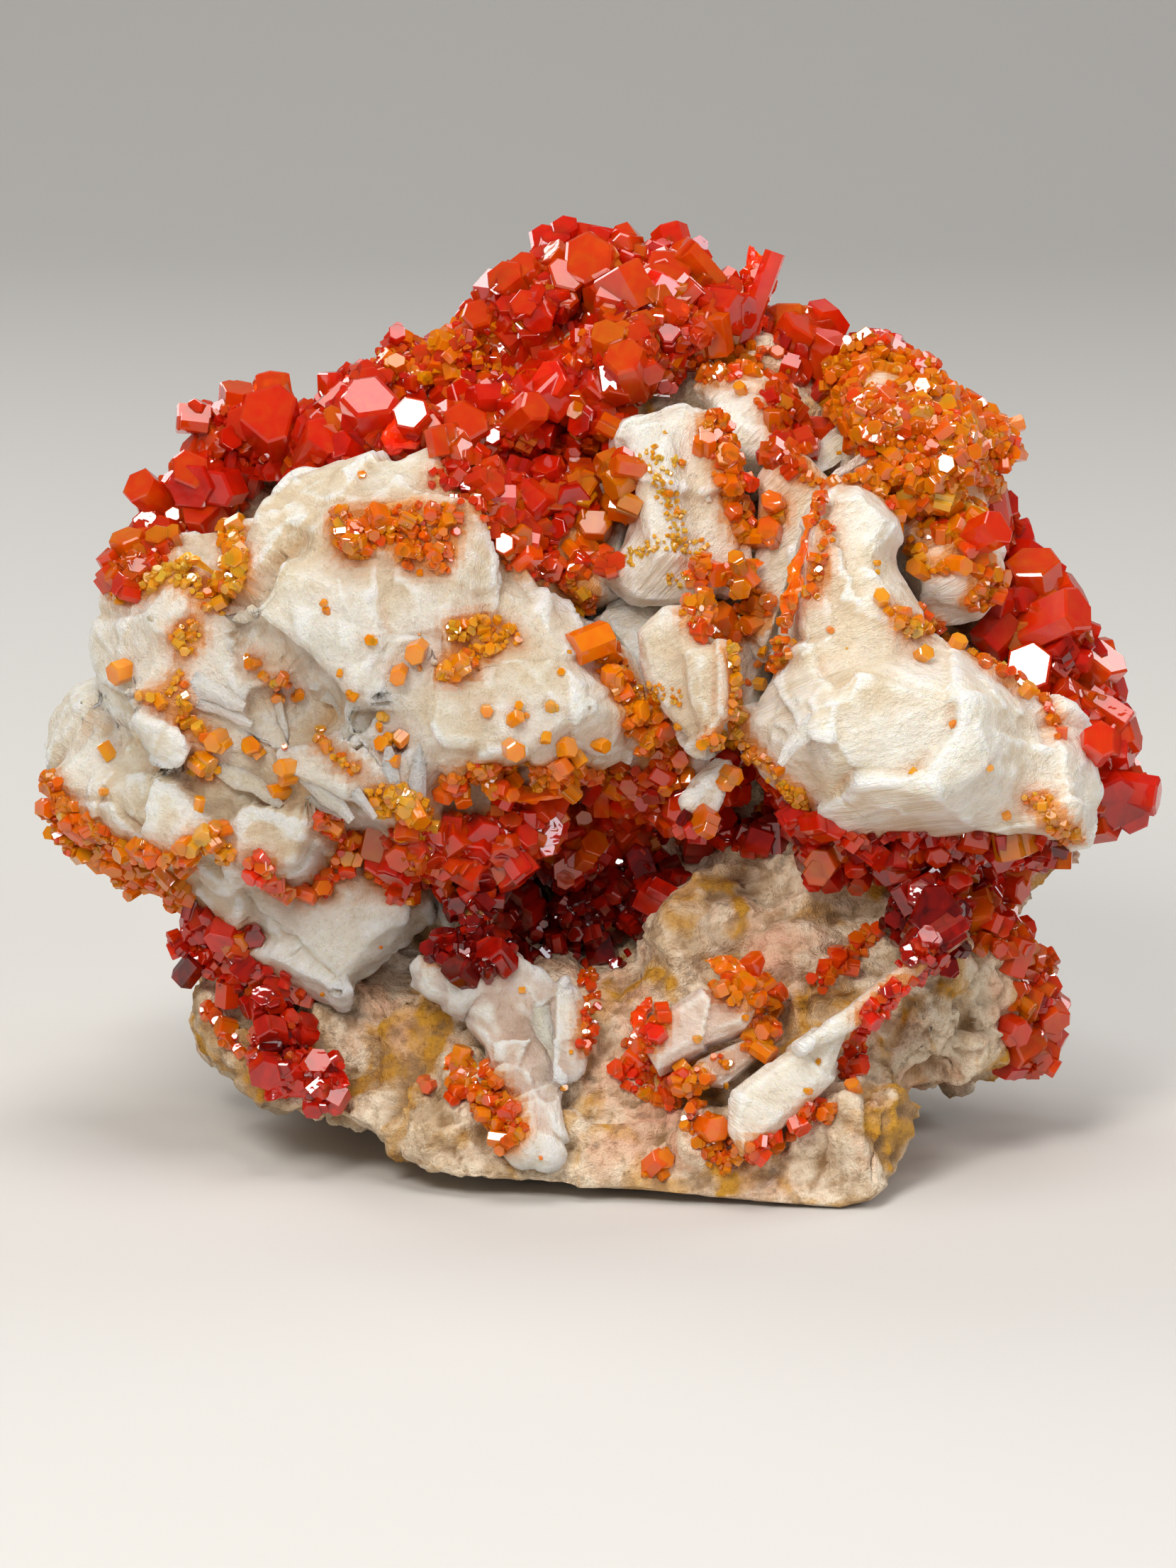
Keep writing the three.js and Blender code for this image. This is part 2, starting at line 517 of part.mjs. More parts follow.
druse("vanadinite_slope", materials.red, {
  path: [[-4.6, 33.6], [-3.6, 35.6], [-1.6, 37], [0, 35.6], [-1.4, 34], [-2.6, 32.2]],
  side: "front", radius: [1.1, 1.5], spread: 0.4, fan: 0.6, stack: 0.8, seed: 7,
  own: [{ at: [-3.4, 34.4, 0], axis: [-0.3, 0.5, 0.8], r: 1.5, long: 3.2, spin: 0.4, lift: 1.4 }],
});
druse("vanadinite_peak", materials.red, {
  path: [[-3, 41.4, 0], [-0.4, 42.4, -1], [2.2, 42.6, -1], [4.6, 41.4, -1], [3.6, 39.8, 1], [1, 39.8, 1]],
  side: "top", radius: [1.4, 1.9], spread: 0.4, closeness: 1.2, seed: 9,
  own: [{ at: [-0.8, 43, -1], axis: [-0.35, 0.9, 0.5], r: 1.9, long: 2.8, spin: 0.4, lift: 0.6 }],
});
druse("vanadinite_spike", materials.red, {
  path: [[7, 39.2, -2], [8, 39, -3]],
  side: "crest", radius: [1, 1.2], spread: 0, fan: 0.2, seed: 2,
  own: [{ at: [6.5, 38.8, -2.4], axis: [0.3, 0.95, -0.05], r: 0.9, long: 5.4, spin: 0.3, lift: 0.4 }],
});
druse("vanadinite_right_shoulder", materials.red, {
  path: [[9.6, 38, -3], [11.4, 37.6, -3.4], [13.2, 36.8, -4]],
  side: "top", radius: [1.2, 1.7], spread: 0.2, closeness: 0.9, seed: 11,
});
druse("vanadinite_above_blade", materials.red, {
  path: [[0.4, 38], [2, 37.8], [3.6, 38]],
  side: "front", radius: [1, 1.3], spread: 0.3, stack: 0.8, seed: 13,
  own: [{ at: [1.6, 37.2, 0], axis: [-0.2, 0.5, 0.8], r: 1.35, long: 3.4, spin: 0.2, lift: 1.4 }],
});

// The orange dome on the right and the red flank below it.
druse("vanadinite_dome_crest", materials.orange, {
  path: [[11.4, 36.6], [13, 37.3], [15, 36.4], [16.8, 34.8], [17.8, 32.8]],
  side: "top", radius: [0.8, 1.1], closeness: 1.2, seed: 15,
});
druse("vanadinite_dome_face", materials.orange, {
  path: [[11.8, 34.8], [13.8, 35], [15, 33.6], [13, 32.8]],
  side: "front", radius: [0.7, 1], seed: 16,
});
druse("vanadinite_right_flank", materials.red, {
  path: [
    [18.6, 26.6, -1], [20.4, 25.2, -1], [21.6, 23.6, -1], [22.4, 21.6, -1], [22.8, 19.6, -1], [22, 17.6, -1],
  ],
  side: "right", radius: [1.4, 1.8], stout: [1.6, 2.3], spread: 0.3, fan: 0.35, closeness: 1.15, seed: 19,
  own: [
    { at: [19.4, 24, 0], seen: "front", axis: [0.4, 0.4, 0.8], r: 1.7, long: 3.6, spin: 0.2, lift: 1.2 },
    { at: [20.6, 25.6, 0], axis: [0.5, 0.6, 0.6], r: 1.6, long: 3.4, spin: 0.5, lift: 0.6 },
    { at: [22.2, 21.6, 0], axis: [0.8, 0.3, 0.5], r: 1.5, long: 3.2, spin: 0.1, lift: 0.8 },
    { at: [22.4, 18.6, -0.6], axis: [1, -0.05, 0.15], r: 0.95, long: 4.6, spin: 0.2, lift: 0.9 },
  ],
});
druse("vanadinite_right_shoulder_low", materials.red, {
  path: [[17.4, 30.4, -2], [18.4, 29.2, -2], [19.2, 27.8, -2]],
  side: "right", radius: [1.3, 1.7], spread: 0.2, fan: 0.4, closeness: 0.9, seed: 20,
});
druse("vanadinite_right_tail", materials.red, {
  path: [[21.8, 16, 2], [21.2, 14.6, 2], [20.4, 13.4, 2]],
  side: "right", radius: [1, 1.4], spread: 0.2, closeness: 0.9, seed: 51,
});

// Under the overhangs, in the hollow and round the foot.
druse("vanadinite_overhang_right", materials.red, {
  path: [[7, 17, 7], [10, 16, 8], [13, 16, 8], [16.4, 15.8, 7]],
  side: "under", radius: [0.9, 1.3], stout: [1.5, 2.2], closeness: 1.1, seed: 52,
  own: [
    { at: [10.6, 15.6, 8], axis: [-0.1, -0.5, 0.9], r: 1, long: 2.6, spin: 0.3, lift: 0.7 },
    { at: [15.6, 15.2, 7], axis: [0.3, -0.4, 0.9], r: 1.1, long: 2.6, spin: 0.7, lift: 0.5 },
  ],
});
druse("vanadinite_dark_group", materials.red, {
  path: [[13.8, 12.4], [15.8, 12.8]],
  side: "front", radius: [1, 1.3], spread: 0.2, seed: 53,
  own: [{ at: [14.7, 12.6, 0], axis: [0.1, 0.3, 1], r: 1.6, long: 3, spin: 0.3, lift: 0.8 }],
});
druse("vanadinite_right_foot", materials.red, {
  path: [[18.4, 13.2, 4], [20, 12, 2], [19.8, 9.6, 2], [19.4, 7.4, 2]],
  side: "right", radius: [1.1, 1.5], spread: 0.3, seed: 54,
});
druse("vanadinite_under_left_mass", materials.red, {
  path: [[-7.4, 15], [-5.4, 15.2], [-3.6, 15.6], [-2, 16.6], [0, 17.2], [2, 18.2]],
  side: "front", radius: [0.9, 1.3], stout: [1.6, 2.4], spread: 0.2, closeness: 1.15, seed: 55,
  own: [{ at: [-1.2, 15.2, 8], axis: [0.12, 0.55, 0.8], r: 1.15, long: 3, spin: 0.1, lift: 0.8 }],
});
druse("vanadinite_cave_wall", materials.red, {
  path: [[-5.4, 12.6], [-3, 13.4], [-0.6, 13], [1.6, 13.8]],
  side: "front", radius: [1.1, 1.5], spread: 0.4, fan: 0.6, seed: 56,
});
druse("vanadinite_left_rim", materials.orange, {
  path: [[-24, 17.6, 4.6], [-22.6, 16.2, 5], [-20.6, 14.8, 5], [-18.6, 13.2, 5]],
  side: "lowLeft", radius: [0.65, 0.9], stout: [1.2, 1.7], spread: 0.2, seed: 58,
});
druse("vanadinite_left_heel", materials.red, {
  path: [[-17.6, 11.8, 3], [-15.6, 10, 4], [-13.8, 8, 4], [-14.8, 6.4, 4], [-12.4, 5.8, 5]],
  side: "front", radius: [1.1, 1.5], spread: 0.4, seed: 59,
});

// The small orange ones scattered over the barite.
druse("vanadinite_block_group", materials.orange, {
  path: [[-11.4, 30.6], [-10, 29.6], [-8.8, 30.6], [-7.6, 29.4], [-6, 30.2]],
  side: "front", radius: [0.7, 1], stout: [1.2, 1.6], seed: 62,
});
druse("vanadinite_left_shelf", materials.orange, {
  path: [[-20.6, 28.2], [-18.8, 28.4], [-17, 27.4]],
  side: "front", radius: [0.7, 1], stout: [1.3, 1.9], seed: 64,
});
druse("vanadinite_left_lip", materials.orange, {
  path: [[-6.4, 18.2], [-5, 19.2], [-3.4, 18.8], [-1, 18.8], [1, 18.4]],
  side: "front", radius: [0.55, 0.8], stout: [1.3, 1.8], seed: 66,
});
druse("vanadinite_centre_chain", materials.orange, {
  path: [[-4.2, 31], [-3.2, 29.6], [-2.4, 28.4]],
  side: "front", radius: [0.8, 1.1], seed: 68,
});
druse("vanadinite_hook_left", materials.orange, {
  path: [[1.2, 24.4], [1.8, 22.6], [2.8, 21], [3.4, 19.6]],
  side: "front", radius: [0.7, 1.05], spread: 0.15, closeness: 0.9, seed: 70,
});
druse("vanadinite_hook_top", materials.orange, {
  path: [[4.8, 28.4], [6.4, 28.2], [6.6, 26.6], [5.4, 26]],
  side: "front", radius: [0.75, 1.05], seed: 71,
});
druse("vanadinite_seam", materials.orange, {
  path: [[10.3, 31.2], [9.8, 29.6], [9.4, 28], [9, 26.4], [8.6, 25]],
  side: "front", radius: [0.55, 0.75], spread: 0.1, stack: 0.2, closeness: 1.25, seed: 73,
});
druse("vanadinite_gully", materials.orange, {
  path: [[6, 34], [6.6, 32.4], [6.8, 30.6]],
  side: "front", radius: [0.7, 1], spread: 0.15, closeness: 0.9, seed: 76,
});
druse("vanadinite_blade_patch", materials.orange, {
  path: [[-6, 6.2], [-5, 5], [-4.2, 3.8]],
  side: "front", radius: [0.7, 1], spread: 0.15, closeness: 0.9, seed: 79,
});
druse("vanadinite_slab_left", materials.red, {
  path: [[2.2, 8.4], [1.6, 6.8], [2.6, 5.4]],
  side: "front", radius: [0.65, 0.9], spread: 0.15, closeness: 0.9, seed: 80,
});
druse("vanadinite_slab_top", materials.orange, {
  path: [[5.6, 10.4], [7.2, 10], [8, 8.8]],
  side: "front", radius: [0.7, 0.95], spread: 0.15, closeness: 0.9, seed: 81,
});
druse("vanadinite_lath_left", materials.orange, {
  path: [[4.4, 4.6], [5, 3], [6, 1.8]],
  side: "front", radius: [0.75, 1], spread: 0.15, closeness: 0.9, seed: 82,
});
druse("vanadinite_lath_right", materials.red, {
  path: [[11.6, 7], [12.8, 8.8], [14, 10.2]],
  side: "front", radius: [0.7, 1], spread: 0.15, closeness: 0.9, seed: 84,
});
druse("vanadinite_rear_crest", materials.red, {
  path: [[-12, 34, -8], [-8, 36, -9], [-3, 37.4, -10], [2, 37, -10]],
  side: "rear", radius: [1.4, 1.9], spread: 0.4, closeness: 1.25, seed: 86,
});

// ---- The whole specimen in its own frame ----
specimen.applyMatrix4(tilt);
specimen.updateMatrixWorld(true);
const bounds = new THREE.Box3().setFromObject(specimen, true);
const middle = bounds.getCenter(new THREE.Vector3());
specimen.position.set(-middle.x, -middle.y, -bounds.min.z);

export default specimen;
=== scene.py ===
"""Vanadinite on barite and host rock: the finished surfaces of a cabinet specimen, round its CAD frame."""

import math

import bmesh
import bpy
import numpy as np
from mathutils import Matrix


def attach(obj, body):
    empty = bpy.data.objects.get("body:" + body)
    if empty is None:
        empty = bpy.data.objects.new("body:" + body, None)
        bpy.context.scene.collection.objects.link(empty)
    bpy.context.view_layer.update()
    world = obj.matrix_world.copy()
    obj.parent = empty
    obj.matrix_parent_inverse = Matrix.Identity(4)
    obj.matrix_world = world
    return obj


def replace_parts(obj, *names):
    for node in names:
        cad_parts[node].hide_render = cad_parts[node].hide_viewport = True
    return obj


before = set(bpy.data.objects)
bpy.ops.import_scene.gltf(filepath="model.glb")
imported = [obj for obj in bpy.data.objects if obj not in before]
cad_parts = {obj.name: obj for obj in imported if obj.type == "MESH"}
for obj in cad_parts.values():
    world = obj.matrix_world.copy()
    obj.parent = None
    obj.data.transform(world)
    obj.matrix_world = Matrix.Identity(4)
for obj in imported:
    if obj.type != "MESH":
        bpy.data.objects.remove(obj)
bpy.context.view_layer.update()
scene = bpy.context.scene
MM = 0.001


# ---- Camera, floor and light ----
# The specimen stands on a pale sweep of card under two large soft lights, with weaker ones at the right and
# behind, and three small ones that flash in the crystals' flat ends. Its display face leans back, and the
# camera looks square at it.

LEAN = math.radians(12)
FACE_ORIGIN = np.array([0.314, -5.151, -2.3])  # where the display face's own origin lies, mm
FACE_AXES = np.array([
    [1, 0, 0],
    [0, math.sin(LEAN), math.cos(LEAN)],
    [0, -math.cos(LEAN), math.sin(LEAN)],
])
VIEW_HEIGHT = 70.2  # mm of the display face from the picture's bottom to its top
CAMERA_REACH = 420
AIM = (-0.36, 18.8, 6)


def on_face(points):
    """Points drawn on the display face (right, up, out, in mm) to the specimen's own frame, in mm."""
    return np.atleast_2d(np.asarray(points, float)) @ FACE_AXES + FACE_ORIGIN


def linear(code):
    """An sRGB hex colour as the linear red, green, blue and alpha that shaders take."""
    shares = np.array([int(code[i:i + 2], 16) for i in (1, 3, 5)]) / 255
    lit = np.where(shares <= 0.04045, shares / 12.92, ((shares + 0.055) / 1.055) ** 2.4)
    return (*lit.tolist(), 1.0)


def lay(tree, kind, stops=None, inputs=None, **settings):
    """Adds one node: settings are its own properties, stops a colour ramp's, and inputs what its sockets
    take: a value, an output, or a node, which stands for its first output."""
    node = tree.nodes.new("ShaderNode" + kind)
    for name, value in settings.items():
        setattr(node, name, value)
    for i, (place, code) in enumerate(stops or []):
        ends = node.color_ramp.elements
        stop = ends[i] if i < 2 else ends.new(place)
        stop.position, stop.color = place, linear(code)
    for socket, value in (inputs or {}).items():
        value = value.outputs[0] if isinstance(value, bpy.types.Node) else value
        if isinstance(value, bpy.types.NodeSocket):
            tree.links.new(value, node.inputs[socket])
        else:
            node.inputs[socket].default_value = value
    return node


def cells_of(size):
    """The noise scale, in cells a metre, whose patches are about `size` mm across."""
    return 1 / (size * MM)


def new_material(name):
    """An empty material and its tree, ready for a Principled surface."""
    material = bpy.data.materials.new(name)
    material.use_nodes = True
    material.node_tree.nodes.clear()
    return material, material.node_tree


def new_mesh(name, corners, faces, smooth):
    """A linked object from corner positions in mm and faces as lists of corner numbers."""
    mesh = bpy.data.meshes.new(name)
    mesh.from_pydata((np.asarray(corners) * MM).tolist(), [], faces)
    if smooth:
        mesh.shade_smooth()
    piece = bpy.data.objects.new(name, mesh)
    scene.collection.objects.link(piece)
    return piece


eye = on_face([AIM]) + CAMERA_REACH * FACE_AXES[2]
camera_data = bpy.data.cameras.new("Camera")
camera_data.sensor_fit = "VERTICAL"
camera_data.lens = camera_data.sensor_height * CAMERA_REACH / VIEW_HEIGHT
camera_data.clip_start, camera_data.clip_end = 0.01, 10
camera = bpy.data.objects.new("Camera", camera_data)
camera.location = (eye[0] * MM).tolist()
camera.rotation_euler = (math.pi / 2 - LEAN, 0, 0)
scene.collection.objects.link(camera)
scene.camera = camera

# The sweep: flat under the specimen, then a quarter turn up behind it.
HAIR = 0.02  # mm that the card lies below zero, and the specimen's underside above it
turn = np.linspace(0, math.pi / 2, 24)
SWEEP_RADIUS, SWEEP_REACH, SWEEP_HALF, SWEEP_RISE = 160, 260, 700, 600
sweep_y = np.concatenate([[-900], SWEEP_REACH + SWEEP_RADIUS * np.sin(turn), [SWEEP_REACH + SWEEP_RADIUS]])
sweep_z = np.concatenate([[0], SWEEP_RADIUS * (1 - np.cos(turn)), [SWEEP_RISE]])
rows = len(sweep_y)
sweep_corners = np.concatenate([
    np.column_stack([np.full(rows, side * SWEEP_HALF), sweep_y, sweep_z - HAIR]) for side in (-1, 1)
])
sweep_faces = [(i, i + rows, i + rows + 1, i + 1) for i in range(rows - 1)]
sweep = new_mesh("card_sweep", sweep_corners, sweep_faces, True)
# Matt card: an even warm grey with no gloss.
card, tree = new_material("pale matt card")
card_surface = lay(tree, "BsdfPrincipled", inputs={"Base Color": linear("#d2d0cc"), "Roughness": 0.9})
lay(tree, "OutputMaterial", inputs={"Surface": card_surface})
sweep.data.materials.append(card)

MIDDLE = (0, 0, 20)  # of the specimen, mm; all the lights face it
LIGHTS = [
    # name, place and width in mm, power, tint
    ("key", (-90, -250, 230), 105, 0.64, "#fffaf2"),
    ("overhead", (20, -60, 330), 200, 0.51, "#fffcf8"),
    ("side", (250, -190, 120), 90, 0.17, "#f4f7ff"),
    ("back", (-190, 160, 170), 130, 0.3, "#ffffff"),
    ("back_right", (210, 120, 150), 110, 0.18, "#ffffff"),
    ("spark_left", (-150, -330, 90), 34, 0.075, "#ffffff"),
    ("spark_right", (70, -310, 190), 34, 0.075, "#ffffff"),
    ("spark_top", (0, -170, 330), 34, 0.075, "#ffffff"),
]
for name, place, width, power, tint in LIGHTS:
    data = bpy.data.lights.new(name, "AREA")
    data.size, data.energy, data.color = width * MM, power, linear(tint)[:3]
    light = bpy.data.objects.new(name, data)
    light.location = [v * MM for v in place]
    x, y, z = np.subtract(place, MIDDLE).tolist()
    light.rotation_euler = (math.atan2(math.hypot(x, y), z), 0, math.atan2(x, -y))
    scene.collection.objects.link(light)

world = bpy.data.worlds.new("room")
world.use_nodes = True
room_light = world.node_tree.nodes["Background"].inputs
room_light["Color"].default_value = linear("#c8ccd2")
room_light["Strength"].default_value = 0.17
scene.world = world
scene.view_settings.view_transform = "Standard"


# ---- Host rock ----
# A broken lump of iron-stained, sandy gangue: tan and pinkish on fresh faces, grey where it is finer, ochre
# where iron has weathered out. Its underside is cut flat, so that it stands.


def cell_random(cell, seed):
    """One fixed random number from 0 to 1 for each whole-number cell: its three numbers, hashed."""
    h = cell[:, 0] * 374761393 + cell[:, 1] * 668265263 + cell[:, 2] * 1440662683 + seed * 1013904223
    h = h & 0xFFFFFFFF
    h = ((h ^ (h >> 13)) * 1274126177) & 0xFFFFFFFF
    h = ((h ^ (h >> 16)) * 2246822519) & 0xFFFFFFFF
    return ((h >> 8) & 0xFFFF) / 65535


def lattice_noise(p, seed):
    """Smooth noise from -1 to 1: each cell corner's random number, blended across the cell by the quintic
    6t^5 - 15t^4 + 10t^3 along x, y and z."""
    cell = np.floor(p).astype(np.int64)
    t = p - cell
    t = t * t * t * (t * (t * 6 - 15) + 10)
    total = np.zeros(len(p))
    for corner in np.ndindex(2, 2, 2):
        share = np.prod(np.where(corner, t, 1 - t), axis=1)
        total += share * cell_random(cell + corner, seed)
    return 2 * total - 1


def layered_noise(p, size, layers, seed):
    """Sum of `layers` noises, the first with lumps of `size` mm, each next of half the size and height."""
    return sum(lattice_noise(p / size * 2**k, seed + k) / 2**k for k in range(layers))


def broken(p, size, seed):
    """A broken surface. Space is shared out to jittered points about `size` mm apart, each owning what is
    nearest to it. Returns the height of a plane through the owner, tilted at random (slope up to 1), and
    how near the owner is, from 0 at about `size` to 1 at the owner."""
    q = p / size
    base = np.floor(q - 0.5).astype(np.int64)
    nearest, height = np.full(len(p), 9.0), np.zeros(len(p))
    for corner in np.ndindex(2, 2, 2):
        cell = base + corner
        offset = q - cell - 0.15 - 0.7 * np.column_stack([cell_random(cell, seed + k) for k in range(3)])
        slope = np.column_stack([cell_random(cell, seed + 3 + k) for k in range(3)]) * 2 - 1
        distance = np.linalg.norm(offset, axis=1)
        height = np.where(distance < nearest, (offset * slope).sum(1) * size, height)
        nearest = np.minimum(nearest, distance)
    return height, np.clip(1 - nearest, 0, 1)


def rise(value, low, high):
    """0 below low, 1 above high, and between them the S-curve 3t^2 - 2t^3 of the way t from low to high."""
    t = np.clip((value - low) / (high - low), 0, 1)
    return t * t * (3 - 2 * t)


def in_mm(mesh, kind):
    """For each point of a mesh, its place in mm ("co") or its "normal"."""
    values = np.empty(len(mesh.vertices) * 3)
    mesh.vertices.foreach_get(kind, values)
    return values.reshape(-1, 3) / (MM if kind == "co" else 1)


def mark(mesh, name, values):
    """Stores one number for each point of a mesh."""
    mesh.attributes.new(name, "FLOAT", "POINT").data.foreach_set("value", values)


def put(mesh, points):
    """Moves a mesh's points to new places, in mm."""
    mesh.vertices.foreach_set("co", (points * MM).ravel())
    mesh.update()


def remake(piece, cell):
    """Remakes a closed piece's mesh as an even skin in cells `cell` mm wide."""
    cells = piece.modifiers.new("Cells", "REMESH")
    cells.mode, cells.voxel_size = "VOXEL", cell * MM
    piece.data = bpy.data.meshes.new_from_object(piece.evaluated_get(bpy.context.evaluated_depsgraph_get()))
    piece.modifiers.clear()


def evened(points, ends, rounds):
    """The points after `rounds` rounds in which each moves half way to the mean of its neighbours."""
    first, second = ends
    count = len(points)
    neighbours = np.bincount(first, minlength=count) + np.bincount(second, minlength=count)
    for _ in range(rounds):
        total = np.column_stack([
            np.bincount(first, points[second, k], count) + np.bincount(second, points[first, k], count)
            for k in range(3)
        ])
        points = 0.5 * points + 0.5 * total / neighbours[:, None]
    return points


HOLLOW_ROUNDS = 24  # rounds of evening that give a point's surroundings


def skin(name, node, cell, fill, wear, shape, *numbers):
    """One closed skin round a frame node, remade in cells `cell` mm wide. Crevices under `fill` mm wide are
    closed by swelling and shrinking it again. It is evened out `wear` times, and each point is then moved out
    along its normal by shape(points, *numbers), in mm. The attribute "relief" keeps the finest part of that,
    and "hollow" how far each point lies below its surroundings, in mm."""
    shell = bmesh.new()
    shell.from_mesh(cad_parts[node].data)
    bmesh.ops.remove_doubles(shell, verts=shell.verts, dist=1e-6)
    mesh = bpy.data.meshes.new(name)
    shell.to_mesh(mesh)
    shell.free()
    piece = bpy.data.objects.new(name, mesh)
    scene.collection.objects.link(piece)
    for swelling in ((0.5 * fill, -0.5 * fill) if fill else (0,)):
        remake(piece, cell)
        put(piece.data, in_mm(piece.data, "co") + swelling * in_mm(piece.data, "normal"))
    mesh = piece.data
    mesh.name = name
    ends = np.empty(len(mesh.edges) * 2, np.int32)
    mesh.edges.foreach_get("vertices", ends)
    ends = ends.reshape(-1, 2).T
    put(mesh, evened(in_mm(mesh, "co"), ends, wear))
    points = in_mm(mesh, "co")
    out, relief = shape(points, *numbers)
    moved = evened(points + in_mm(mesh, "normal") * out[:, None], ends, 1)
    moved[:, 2] = np.maximum(moved[:, 2], HAIR)
    put(mesh, moved)
    hollow = ((evened(moved, ends, HOLLOW_ROUNDS) - moved) * in_mm(mesh, "normal")).sum(1)
    mark(mesh, "relief", relief)
    mark(mesh, "hollow", hollow)
    mesh.shade_smooth()
    mesh.materials.clear()
    return piece


def rock_shape(points):
    """Broken lumps, crumbly ledges and sand grains; all of it fades out towards the flat underside."""
    lumps = 0.3 * layered_noise(points, 6.5, 3, 3) + 0.3 * broken(points, 4.2, 17)[0]
    chip, grain = broken(points, 1.1, 23)
    crumb, _ = broken(points, 0.6, 27)
    fine = 0.4 * chip + 0.45 * crumb + 0.3 * (grain - 0.6) - 0.25 * np.abs(layered_noise(points, 2.2, 2, 11))
    return (lumps + fine + 0.1) * rise(points[:, 2], 0.1, 2.2), fine


rock = skin("host_rock", "matrix_rock", 0.26, 1.2, 3, rock_shape)

# Sandy gangue, freshly broken: dull, gritty and biscuit-coloured, with grey to pink patches about 5 mm wide,
# ochre iron stains about 3 mm wide, a pepper of darker grains, and painted shade in the deep pits.
sandstone, tree = new_material("iron stained sandy gangue")
place = lay(tree, "TexCoord").outputs["Object"]
patches = lay(tree, "TexNoise", inputs={
    "Vector": place, "Scale": cells_of(5), "Detail": 5, "Roughness": 0.65,
})
tan = lay(tree, "ValToRGB", stops=[
    (0.3, "#a8957e"), (0.41, "#e2c8a6"), (0.5, "#f8e8d0"), (0.6, "#f2ceb0"), (0.74, "#e8b096"),
], inputs={"Fac": patches})
stain = lay(tree, "TexNoise", inputs={"Vector": place, "Scale": cells_of(3), "Detail": 5, "Distortion": 0.8})
stain_share = lay(tree, "MapRange", inputs={"Value": stain, "From Min": 0.5, "From Max": 0.63})
ochre = lay(tree, "Mix", data_type="RGBA", inputs={0: stain_share, 6: tan, 7: linear("#d59c30")})
specks = lay(tree, "TexNoise", inputs={
    "Vector": place, "Scale": cells_of(0.65), "Detail": 4, "Roughness": 0.7,
})
speck_tone = lay(tree, "ValToRGB", stops=[
    (0.34, "#80664c"), (0.43, "#dcc8ac"), (0.52, "#fffcf6"),
], inputs={"Fac": specks})
grained = lay(tree, "Mix", data_type="RGBA", blend_type="MULTIPLY", inputs={
    0: 0.6, 6: ochre.outputs[2], 7: speck_tone,
})
# Deep pits of the relief are painted a darker brown: painted shade in the crevices.
relief = lay(tree, "Attribute", attribute_name="relief")
pit_shade = lay(tree, "MapRange", inputs={"Value": relief.outputs["Fac"], "From Min": -0.55, "From Max": -0.05})
shaded = lay(tree, "Mix", data_type="RGBA", inputs={0: pit_shade, 6: linear("#a07c54"), 7: grained.outputs[2]})
# Sand grains are 0.1 to 0.3 mm, too fine to show, so their bumps are drawn at 0.45 mm.
sand = lay(tree, "TexNoise", inputs={
    "Vector": place, "Scale": cells_of(0.45), "Detail": 4, "Roughness": 0.75,
})
sandy = lay(tree, "Bump", inputs={"Height": sand, "Strength": 1, "Distance": 0.0004})
surface = lay(tree, "BsdfPrincipled", inputs={
    "Base Color": shaded.outputs[2], "Roughness": 0.85, "Normal": sandy,
})
lay(tree, "OutputMaterial", inputs={"Surface": surface})


def enter(piece, look, node=None):
    """Gives a piece its look, its body, the frame node that it replaces, if any."""
    piece.data.materials.append(look)
    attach(piece, "root")
    if node:
        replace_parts(piece, node)


enter(rock, sandstone, "matrix_rock")


# ---- Barite ----
# White to cream barite, grown as thick curved blades and lobed masses. It cleaves in thin steps and parts in
# fine fibres, so broken faces are stepped and silky.


def unit(vectors):
    """The vectors at length 1."""
    return vectors / np.linalg.norm(vectors, axis=1, keepdims=True)


SPRAY = on_face([(-8.6, 14.9, 1)])[0]  # the barite's blades and fibres fan out from here


def barite_shape(points, strength, seed, steps):
    """Slight swells, broad flat breaks, cleavage steps (a saw-tooth along the direction `steps`, bent by
    noise) and fibres: noise that varies almost only with the direction from the heart of the spray."""
    swell = 0.1 * layered_noise(points, 6.0, 2, seed)
    large = 0.2 * broken(points, 5.2, seed + 40)[0] + 0.12 * broken(points, 2.2, seed + 50)[0]
    along = points @ (np.array(steps, float) / np.linalg.norm(steps))
    bent = along / 2.1 + 0.7 * layered_noise(points, 4.2, 3, seed + 9)
    saw = bent - np.floor(bent)
    where = rise(layered_noise(points, 6.0, 2, seed + 15), -0.1, 0.4)
    cleaved = 0.16 * (rise(saw, 0.0, 0.2) - saw) * where
    way = unit(points - SPRAY)
    fans = lattice_noise(way * 11 + 0.25 * points / 4, seed + 21) + 0.6 * lattice_noise(way * 24, seed + 22)
    fine = strength * (cleaved + 0.1 * fans + 0.06 * layered_noise(points, 0.9, 2, seed + 27))
    return strength * (0.1 + swell + large) + fine, fine


